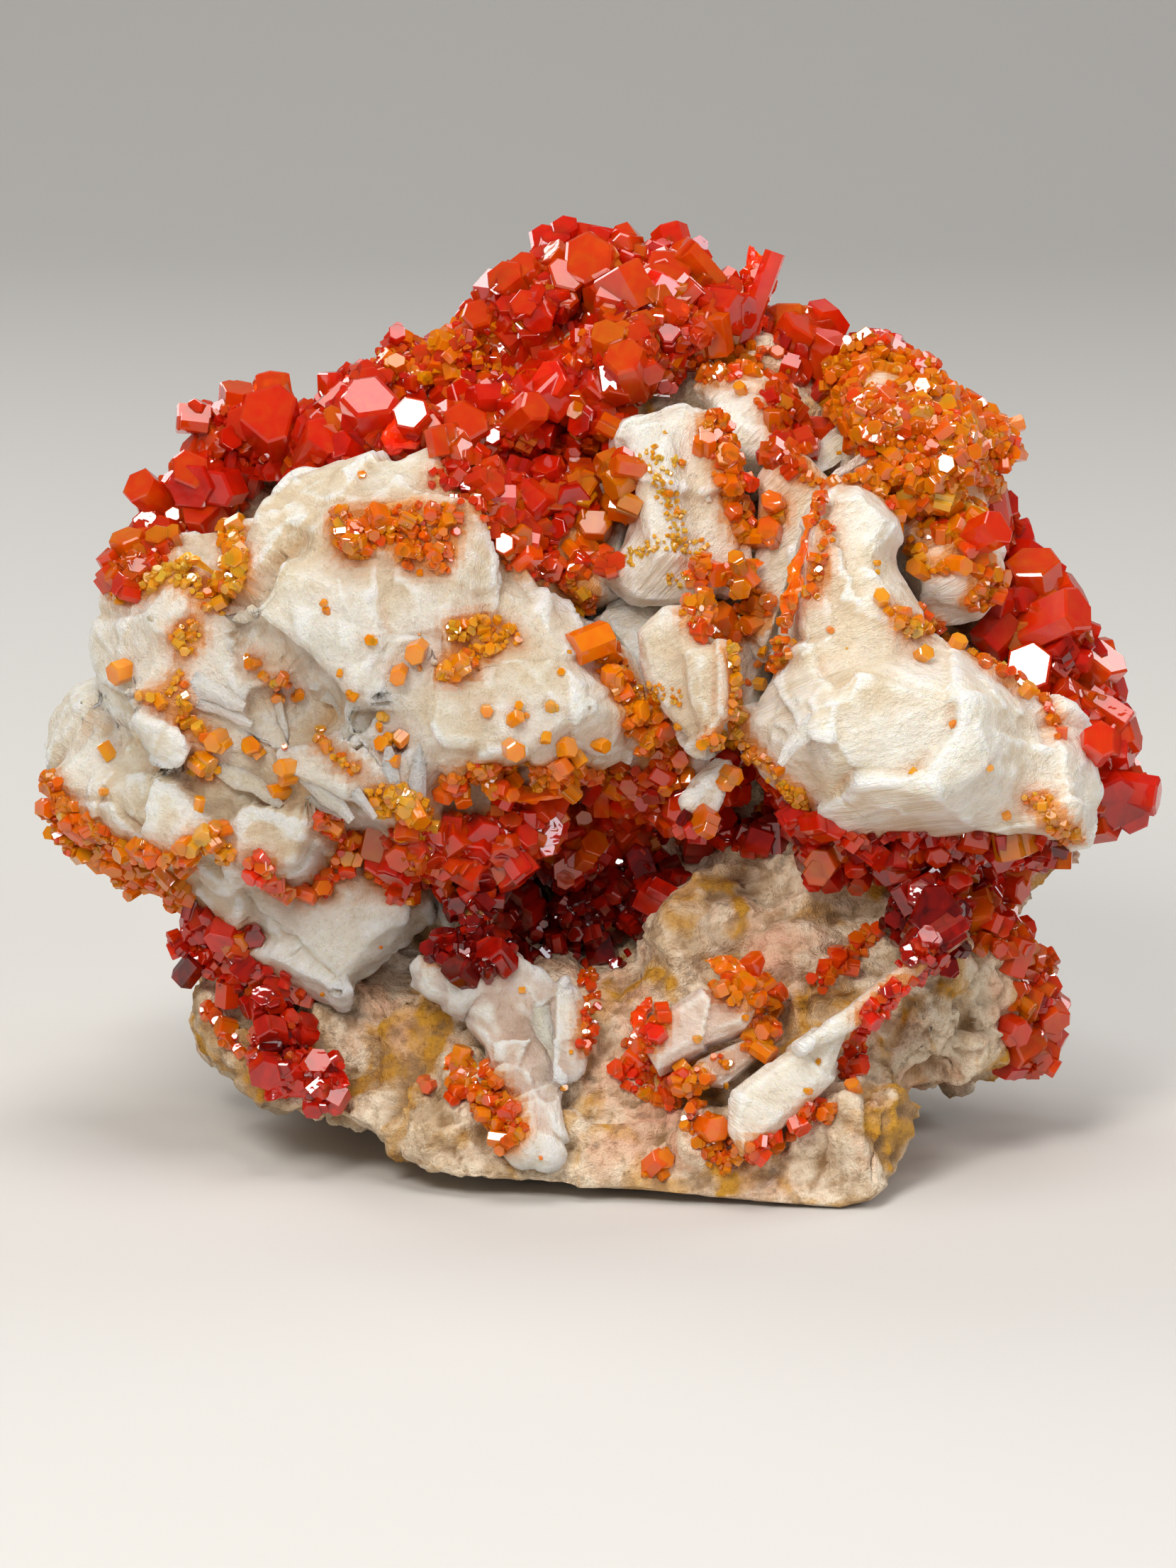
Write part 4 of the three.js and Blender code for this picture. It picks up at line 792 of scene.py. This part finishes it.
PATCHES = [
    # name, path on the display face, reach, sizes, tone
    ("shelf_amber", [(-16.4, 30.3), (-16, 29), (-16, 27.8), (-17, 27)], 0.65, SMALL, AMBER),
    ("shelf_edge", [(-21.2, 27.4), (-20.4, 27.6), (-19.6, 27.8)], 0.4, TINY, AMBER),
    ("far_left_red", [(-21, 28.2), (-20, 29), (-19.6, 30.4)], 1.0, STOUT, BRIGHT),
    ("left_cluster", [(-18.4, 25.3), (-18, 25), (-18, 25.8)], 0.5, TINY, AMBER),
    ("left_vein", [(-20, 22.7), (-18.9, 22.3), (-18.4, 23.6), (-18.3, 21.7), (-17.4, 21)], 0.28, TINY, AMBER),
    ("left_clump", [(-17.6, 19.8), (-17.1, 19.6)], 0.5, SMALL, AMBER),
    ("left_low_clump", [(-18, 16), (-16.8, 16.5), (-16.4, 15.8)], 0.4, SMALL, AMBER),
    ("left_rim_band", [(-24.5, 18.8), (-23.5, 17.4), (-22.3, 16.6), (-21, 15.7), (-19.6, 14.8), (-18.6, 14)],
     0.5, SMALL, ORANGE),
    ("left_rim_inner", [(-20.4, 16), (-19, 15.6), (-18.2, 15.4)], 0.3, SMALL, ORANGE),
    ("trench_brown",
     [(-14.9, 15.4), (-14.4, 14.2), (-13.4, 14), (-12.4, 14.2), (-11.4, 15), (-11, 16.2), (-12, 17.2)],
     0.45, SMALL, BRIGHT),
    ("trench_line", [(-15.4, 24.4), (-14.4, 23.4), (-13, 22.9)], 0.2, TINY, AMBER),
    ("trench_low", [(-12.2, 21.2), (-11.8, 20.3), (-10.8, 19.5)], 0.22, TINY, AMBER),
    ("belt_gold", [(-6.2, 25.5), (-5, 25.7), (-3.8, 25.2), (-5, 24.9), (-6.4, 23.8)], 0.55, TINY, AMBER),
    ("belt_gold_low", [(-6.6, 23.4), (-6.2, 24)], 0.3, SMALL, AMBER),
    ("mass_edge", [(-9.6, 18.2), (-8.4, 18), (-7.8, 17.4), (-8.2, 16.5), (-7.6, 15.6)], 0.6, SMALL, AMBER),
    ("lip_right", [(-1, 18.6), (0, 18.4), (1.2, 17.8)], 0.5, SMALL, ORANGE),
    ("ridge_glitter", [(-8.4, 38), (-6.6, 38.8), (-4.6, 38.6), (-5.6, 37.2), (-3.6, 37)], 1.7, SMALL, ORANGE),
    ("slope_glitter", [(-2.6, 38.4), (-0.8, 38), (1, 38.6), (3, 38)], 1.2, SMALL, BRIGHT),
    ("behind_blade", [(8.2, 36), (8.8, 35), (8.4, 33.8)], 1.1, STOUT, BRIGHT),
    ("lip_under", [(-6, 16.4), (-4, 16.8), (-1.6, 16.4), (0.4, 16.4), (2, 16.6)], 1.2, STOUT, RED),
    ("lip_corner", [(-10, 15.2), (-8.6, 14.6), (-6.8, 15.4), (-5.2, 15)], 0.6, SMALL, BRIGHT),
    ("slope_foot", [(-4.2, 30.9), (-3.8, 30.2), (-3.4, 31.6)], 1.0, STOUT, BRIGHT),
    ("chain_right", [(0, 28.9), (0.6, 28.6)], 0.5, STOUT, BRIGHT),
    ("chain_low", [(-1.4, 28), (-0.8, 27.3), (-0.3, 27)], 0.35, TINY, ORANGE),
    ("blade_edge", [(-0.6, 31.6), (-0.4, 30.2), (1.4, 31.4), (1.3, 33)], 0.5, STOUT, ORANGE),
    ("gold_dust_upper", [(2.4, 33.4), (2.9, 32.4), (3.3, 31.2), (3.6, 30.2)], 0.55, DUST, OCHRE),
    ("gold_dust_lower", [(1.6, 28.9), (2.4, 29.4), (3.4, 29.6), (4.6, 29.4)], 0.5, DUST, OCHRE),
    ("gold_dust_specks", [(3.4, 33.2), (3.8, 33)], 0.35, DUST, OCHRE),
    ("gold_dust_foot", [(3.2, 27.9), (3.9, 27.9)], 0.35, DUST, OCHRE),
    ("hook_gold", [(2, 22.8), (2.8, 22.9), (3.6, 22.6)], 0.45, DUST, AMBER),
    ("hook_right", [(6.1, 24.9), (6.2, 23.4), (6.1, 22.2), (6.2, 21.2)], 0.32, TINY, AMBER),
    ("hook_foot", [(4.8, 20.7), (5.8, 20.8), (6.8, 20.2), (7.8, 19.6), (8.5, 18.7), (9.4, 17.8)],
     0.3, TINY, AMBER),
    ("gully_crown", [(5.6, 38.2), (6.4, 38.6), (7.2, 38), (5.2, 37.4)], 0.7, SMALL, ORANGE),
    ("seam_top", [(8.9, 33.2), (9.8, 32.2), (10.8, 32.2), (12, 32.8)], 0.3, TINY, ORANGE),
    ("pair_upper", [(8, 31.2), (8.2, 30.8)], 0.4, SMALL, ORANGE),
    ("dome_fill", [(11.4, 36.2), (12.6, 35), (14.4, 36), (16, 35.6), (17.6, 34.6), (18, 33)],
     1.4, SMALL, ORANGE),
    ("dome_low", [(13.8, 31.7), (14.6, 31.2), (15.8, 31.6), (17, 31)], 0.6, SMALL, AMBER),
    ("dome_hollow", [(16.2, 30.2), (17, 29.2), (17.6, 28), (17.2, 27.2)], 0.7, SMALL, ORANGE),
    ("dome_specks", [(14.2, 29.6), (14.6, 28.4), (16, 28.6)], 0.3, TINY, AMBER),
    ("right_rim_line", [(14.6, 26.6), (16, 25.2), (17, 24.6), (18.3, 23.8), (19.7, 22.8), (20.6, 21)],
     0.22, TINY, ORANGE),
    ("right_amber", [(13.2, 26.2), (14, 25.8), (14.8, 25.8)], 0.4, TINY, AMBER),
    ("right_tip_amber", [(18.9, 18.4), (19.8, 18.1), (20.1, 17.2), (21.4, 16.4)], 0.4, TINY, AMBER),
    ("right_under_low", [(10, 15.2), (13, 15), (16, 15), (18.6, 14.8)], 0.8, STOUT, BROWN),
    ("middle_under", [(4.2, 16.8), (5.6, 16.6), (7, 16.4), (8.4, 17)], 0.8, STOUT, DEEP),
    ("lath_upper", [(10, 10), (11.2, 11), (12.4, 12)], 0.45, SMALL, BRIGHT),
    ("lath_foot", [(7, 2.6), (8.4, 3.2), (9.6, 4.4), (10.2, 4.4)], 0.45, SMALL, BRIGHT),
    ("slab_front", [(5.4, 6.6), (6.2, 6.4)], 0.3, TINY, ORANGE),
    ("rock_foot", [(2.2, 1.8), (2.8, 1.8)], 0.4, SMALL, ORANGE),
    ("blade_right", [(-0.5, 10.4), (-0.2, 8.9), (-0.5, 7.2)], 0.4, TINY, BRIGHT),
    ("heel_left", [(-17.4, 8.4), (-16.6, 7.6), (-16, 7)], 0.4, SMALL, BRIGHT),
]

for seed, (name, path, reach, sizes, tone) in enumerate(PATCHES, 300):
    patch("vanadinite_" + name, path, reach, sizes, tone, seed)

# Single crystals scattered on the barite: place on the display face, radius and tone.
SINGLES = [
    (-7.8, 24.6, 0.55, 0.8), (-8.7, 23.7, 0.45, 0.78), (-12.1, 22.9, 0.42, 0.78), (-10.7, 22.7, 0.27, 0.8),
    (-14.2, 22.7, 0.27, 0.75), (-15, 21.9, 0.3, 0.74), (-13, 21.8, 0.3, 0.76), (-10, 25.2, 0.26, 0.8),
    (-11.2, 23.7, 0.16, 0.82), (-20.8, 23.9, 0.6, 0.82), (-16.7, 20.8, 0.48, 0.78), (-15.4, 20.3, 0.5, 0.76),
    (-14.9, 20.1, 0.36, 0.74), (-13.6, 19.6, 0.44, 0.8), (-13.5, 19.1, 0.36, 0.78), (-14, 18.6, 0.45, 0.78),
    (-21.8, 20.1, 0.36, 0.84), (-17.6, 17.9, 0.32, 0.8), (-21.8, 18.4, 0.2, 0.86), (-12, 17.1, 0.5, 0.7),
    (-11.1, 16.5, 0.42, 0.74), (-9.4, 20.4, 0.4, 0.78), (-9.1, 19.9, 0.34, 0.76), (-8.5, 20.9, 0.3, 0.76),
    (-9.4, 21.3, 0.2, 0.8), (-4.8, 22, 0.3, 0.78), (-3.6, 21.7, 0.36, 0.8), (-3.4, 22.2, 0.24, 0.82),
    (-3.7, 20.3, 0.52, 0.8), (-1.4, 20.5, 0.5, 0.78), (-0.9, 20.1, 0.36, 0.8), (0.1, 20.6, 0.38, 0.82),
    (-2.2, 20.9, 0.26, 0.82), (-1, 19.3, 0.22, 0.8), (-0.5, 25, 0.88, 0.66), (-0.7, 26.5, 0.3, 0.86),
    (12.5, 26.9, 0.42, 0.84), (14.3, 24.4, 0.4, 0.84), (15.9, 24.8, 0.42, 0.82), (19, 22.8, 0.4, 0.8),
    (18.2, 17.5, 0.22, 0.84), (17.3, 19.5, 0.18, 0.86), (14.2, 31.6, 0.66, 0.68), (15.7, 31.5, 0.56, 0.7),
    (14.6, 28.4, 0.46, 0.78), (16.1, 28.6, 0.5, 0.76), (7.6, 17.4, 0.5, 0.68), (5.9, 19.3, 0.5, 0.7),
    (8, 31.2, 0.55, 0.6), (7.8, 30, 0.66, 0.56), (5.3, 28.1, 0.62, 0.56), (6.9, 27.8, 0.52, 0.56),
    (5.8, 25.9, 0.66, 0.62), (6.6, 36.4, 0.34, 0.8), (4.4, 7.5, 0.2, 0.84), (11.4, 5.3, 0.36, 0.68),
    (-7.4, 5.4, 0.4, 0.52), (-4, 30.9, 0.95, 0.46), (0.4, 28.8, 0.66, 0.5), (7.1, 23.4, 0.34, 0.9),
    (-3.2, 28.8, 0.75, 0.46), (-2, 28.4, 0.6, 0.48), (2.7, 40.6, 1, 0.28), (-1.6, 36.4, 1, 0.3),
    (1, 35.4, 0.8, 0.4), (7, 10.6, 0.6, 0.52), (5, 3.6, 0.7, 0.6), (2.4, 1.9, 0.5, 0.54),
    (1.6, 6.6, 0.5, 0.46),
]
# Larger crystals: place on the display face, radius, length, axis (right, up, out), turn about it and tone.
# Those along GLARE throw the key light straight at the front.
GLARE = (-0.14, 0.23, 0.96)
FEATURES = [
    (14.8, 12.6, 1.4, 2.6, (0.12, 0.3, 0.93), 0.1, 0.06), (7, 39.9, 0.55, 4.4, (0.34, 0.93, 0.1), 0.3, 0.34),
    (23.2, 18.6, 0.95, 3.2, (0.95, -0.15, 0.2), 0.4, 0.3), (22.8, 20.8, 1.1, 2.4, (0.9, 0.3, 0.3), 0.2, 0.42),
    (19.8, 23.7, 1.2, 2.6, GLARE, 0.35, 0.36), (-8, 34.9, 0.85, 2.4, (-0.16, 0.25, 0.95), 0.8, 0.38),
    (-4.1, 31.1, 0.6, 2, (-0.1, 0.24, 0.96), 0.5, 0.48),
    (-14.6, 34.8, 1.5, 3, (-0.05, 0.36, 0.93), 0.3, 0.36),
    (-18, 32.6, 1, 2.6, (-0.2, 0.2, 0.95), 0.6, 0.44), (-19.9, 31.6, 0.9, 2.4, (-0.5, 0.4, 0.7), 0.1, 0.46),
    (22.2, 20.4, 0.9, 2.2, (0.2, 0.3, 0.93), 0.5, 0.38), (-0.9, 14.3, 0.7, 2, (-0.1, 0.26, 0.95), 0.7, 0.2),
    (-3.2, 40, 0.7, 2.2, (-0.05, 0.28, 0.95), 0.9, 0.38), (-5, 39.6, 0.8, 2, (-0.2, 0.3, 0.93), 0.2, 0.44),
    (-0.1, 42, 1.3, 2.4, (-0.2, 0.4, 0.9), 0.45, 0.46), (-9.8, 34.8, 1.4, 3, (-0.1, 0.6, 0.8), 0.1, 0.34),
    (-6, 34.4, 1.1, 2.6, (0.1, 0.35, 0.93), 0.6, 0.44), (1.6, 37, 1, 2.8, (-0.2, 0.45, 0.87), 0.2, 0.48),
    (12.6, 15.3, 0.45, 1.8, (-0.3, 0.5, 0.8), 0.3, 0.3), (13.4, 15, 0.4, 1.6, (0.2, 0.2, 0.95), 0.8, 0.28),
    (17, 29.8, 0.9, 2.2, (0.6, 0.3, 0.7), 0.2, 0.38), (20.2, 26, 1.3, 2.8, (0.75, 0.35, 0.55), 0.5, 0.38),
    (2.8, 41.2, 1.2, 2.6, (0.3, 0.5, 0.8), 0.2, 0.44), (-17.4, 30.4, 1.2, 2.8, (-0.3, 0.5, 0.8), 0.7, 0.4),
    (-12.6, 33.6, 1.1, 2.6, (0.3, 0.5, 0.8), 0.5, 0.36), (-3.6, 35, 0.9, 2.4, (0.5, 0.4, 0.77), 0.3, 0.46),
]
rng = np.random.default_rng(7)


def shown_at(places):
    """For each place (right, up) on the display face, the number of the nearest point showing."""
    return np.array([
        showing[np.argmin(np.linalg.norm(face_points[showing, :2] - place, axis=1))] for place in places
    ])


spots = np.array(SINGLES)
near = shown_at(spots[:, :2])
singles, single_feet = crystals(
    "vanadinite_singles", host_points[near] + host_normals[near] * 0.1 * spots[:, 2:3],
    host_normals[near], spots[:, 2], (0.7, 1.2), 0.7, spots[:, 3], rng, 0.2,
)
feet.append(single_feet)
enter(singles, glassy_small)

spots = np.array([(u, v, radius, length, turn, tone) for u, v, radius, length, _, turn, tone in FEATURES])
near = shown_at(spots[:, :2])
axes = unit(np.array([feature[4] for feature in FEATURES], float)) @ FACE_AXES
foot = host_points[near] + axes * 0.1 * spots[:, 3:4]
corners, faces = prisms(foot, axes, spots[:, 2], spots[:, 3], spots[:, 4], rng)
large_ones = new_mesh("vanadinite_large_singles", corners, faces, False)
mark(large_ones.data, "tone", np.repeat(spots[:, 5], CORNERS))
enter(large_ones, glassy)

# Specks of amber dusted over the barite, on these shares of its points.
SPECKS_ANYWHERE, SPECKS_IN_HOLLOWS = 0.0004, 0.004
rock_count = len(rock.data.vertices)
barite_count = sum(len(mass.data.vertices) for mass in barites)
on_barite = showing[(showing >= rock_count) & (showing < rock_count + barite_count)]
depth = np.concatenate([attribute_of(mass, "hollow") for mass in barites])[on_barite - rock_count]
chance = SPECKS_ANYWHERE + SPECKS_IN_HOLLOWS * rise(depth, 0.0, 0.12)
chosen = on_barite[rng.random(len(on_barite)) < chance]
radius = rng.uniform(0.07, 0.2, len(chosen)) * rng.uniform(0.8, 1.5, len(chosen))
specks, _ = crystals(
    "vanadinite_specks", host_points[chosen], host_normals[chosen], radius, (0.7, 1.2), 0.8,
    rng.normal(0.8, 0.08, len(chosen)), rng, 0.3,
)
enter(specks, glassy_small)


# ---- Small barite blades ----
# Thin cleaved blades of the same white barite that stand on the masses and in their clefts, grown fast at
# the root.

SPLINTERS = [
    # root and tip on the display face (right, up), how far the tip stands out, width, thickness; all in mm
    (-13.4, 19.9, -10.8, 17.2, 0.9, 1.3, 0.5), (-12.2, 20.4, -9.8, 17.3, 1.1, 1.1, 0.4),
    (-13.2, 18.7, -11.3, 17.3, 0.7, 0.8, 0.4), (-8.9, 18.2, -9.2, 20.4, 0.5, 1.1, 0.4),
    (-8, 18.1, -7.7, 20.8, 0.7, 1, 0.4), (-7.1, 18.3, -6.1, 20.4, 0.6, 0.9, 0.4),
    (-18.4, 23.5, -15.6, 22.2, 0.7, 1.4, 0.5), (-17.7, 22.6, -15.2, 21.4, 0.6, 0.9, 0.4),
    (-21.8, 21.6, -17.3, 19.6, 0.9, 2.2, 0.7), (-16.9, 19.7, -13.9, 17.8, 0.8, 1.3, 0.5),
    (-14.7, 21, -12.8, 19.1, 0.5, 0.8, 0.3), (-7, 14.3, -6.2, 12.1, 0.5, 1, 0.5),
    (-6, 14.1, -5.5, 12.4, 0.4, 0.8, 0.4), (9.6, 21.8, 8, 19.7, 0.6, 1.1, 0.4),
    (11.2, 34.3, 8.9, 32.3, 0.7, 1.6, 0.5), (12.6, 33.7, 10.3, 32.3, 0.6, 1.1, 0.4),
    (-11.8, 22.9, -9.5, 21, 0.5, 1.3, 0.5), (4.4, 34, 5, 31.4, 0.4, 0.9, 0.3),
    (-3, 9.9, -1.6, 6.4, 0.5, 1.4, 0.5), (-6.8, 10.6, -3.4, 9.6, 0.4, 1.2, 0.5),
    (-2.8, 6.6, -2.4, 3, 0.4, 1.1, 0.4),
]


def splinters(name, rows, rng):
    """Flat blades, each of six rings of four corners from a sunk root to a narrow tip. Ring k is at k/5 of
    the length, and its half width is the blade's, times a random share, times 0.5 - 0.34 (k/5)^2."""
    corners, faces = [], []
    sides = np.array([(0, 1, 5, 4), (1, 2, 6, 5), (2, 3, 7, 6), (3, 0, 4, 7)])
    for root_u, root_v, tip_u, tip_v, lift, width, thick in rows:
        root = host_points[shown_at([(root_u, root_v)])[0]]
        axis = np.array([tip_u - root_u, tip_v - root_v, lift]) @ FACE_AXES
        side = np.cross(axis, FACE_AXES[2] + 0.25 * rng.normal(0, 1, 3))
        side = side / np.linalg.norm(side)
        out = np.cross(side, axis) / np.linalg.norm(axis)
        first = len(corners)
        for k in range(6):
            half = width * rng.uniform(0.75, 1) * (0.5 - 0.34 * (k / 5) ** 2)
            deep = thick * (0.5 - 0.3 * k / 5)
            middle = root + axis * (k / 5) - 0.3 * FACE_AXES[2] + side * rng.normal(0, 0.05 * width)
            corners += [middle - side * half, middle + out * deep]
            corners += [middle + side * half, middle - out * deep]
        faces += [(sides[j] + first + 4 * k).tolist() for k in range(5) for j in range(4)]
        faces += [[first + 3, first + 2, first + 1, first], [first + 20 + j for j in range(4)]]
    return new_mesh(name, np.array(corners), faces, False)


blades = splinters("barite_small_blades", SPLINTERS, np.random.default_rng(5))
enter(blades, silky)


# ---- Colour cast by the crystals ----
# Light from the crystals colours the pale minerals round them. The attribute "glow" holds how much: crystal
# feet counted in small cells, then blurred a little way and a long way.

GLOW_CELL = 0.35  # mm
NEAR_ROUNDS, FAR_ROUNDS = 2, 14
NEAR_GLOW, FAR_GLOW = 2.5, 2.0
all_feet = np.concatenate(feet)
low = host_points.min(0) - 2
grid_size = np.ceil((host_points.max(0) + 2 - low) / GLOW_CELL).astype(int) + 1


def glow_cells(points):
    """The lattice cell that each point is in."""
    return tuple(np.clip(((points - low) / GLOW_CELL).astype(int), 0, grid_size - 1).T)


glow = np.zeros(grid_size)
np.add.at(glow, glow_cells(all_feet), 1.0)


def blurred(grid, rounds):
    """The grid after `rounds` rounds in which each cell takes a quarter of the cells on either side of it and
    half of itself, along x, y and z in turn."""
    for _ in range(rounds):
        for way in range(3):
            grid = (np.roll(grid, 1, way) + 2 * grid + np.roll(grid, -1, way)) / 4
    return grid


near_glow, far_glow = blurred(glow, NEAR_ROUNDS), blurred(np.minimum(glow, 2), FAR_ROUNDS)
for host in (rock, *barites):
    cells = glow_cells(in_mm(host.data, "co"))
    share = np.clip(NEAR_GLOW * near_glow[cells] + FAR_GLOW * far_glow[cells], 0, 1)
    mark(host.data, "glow", share)
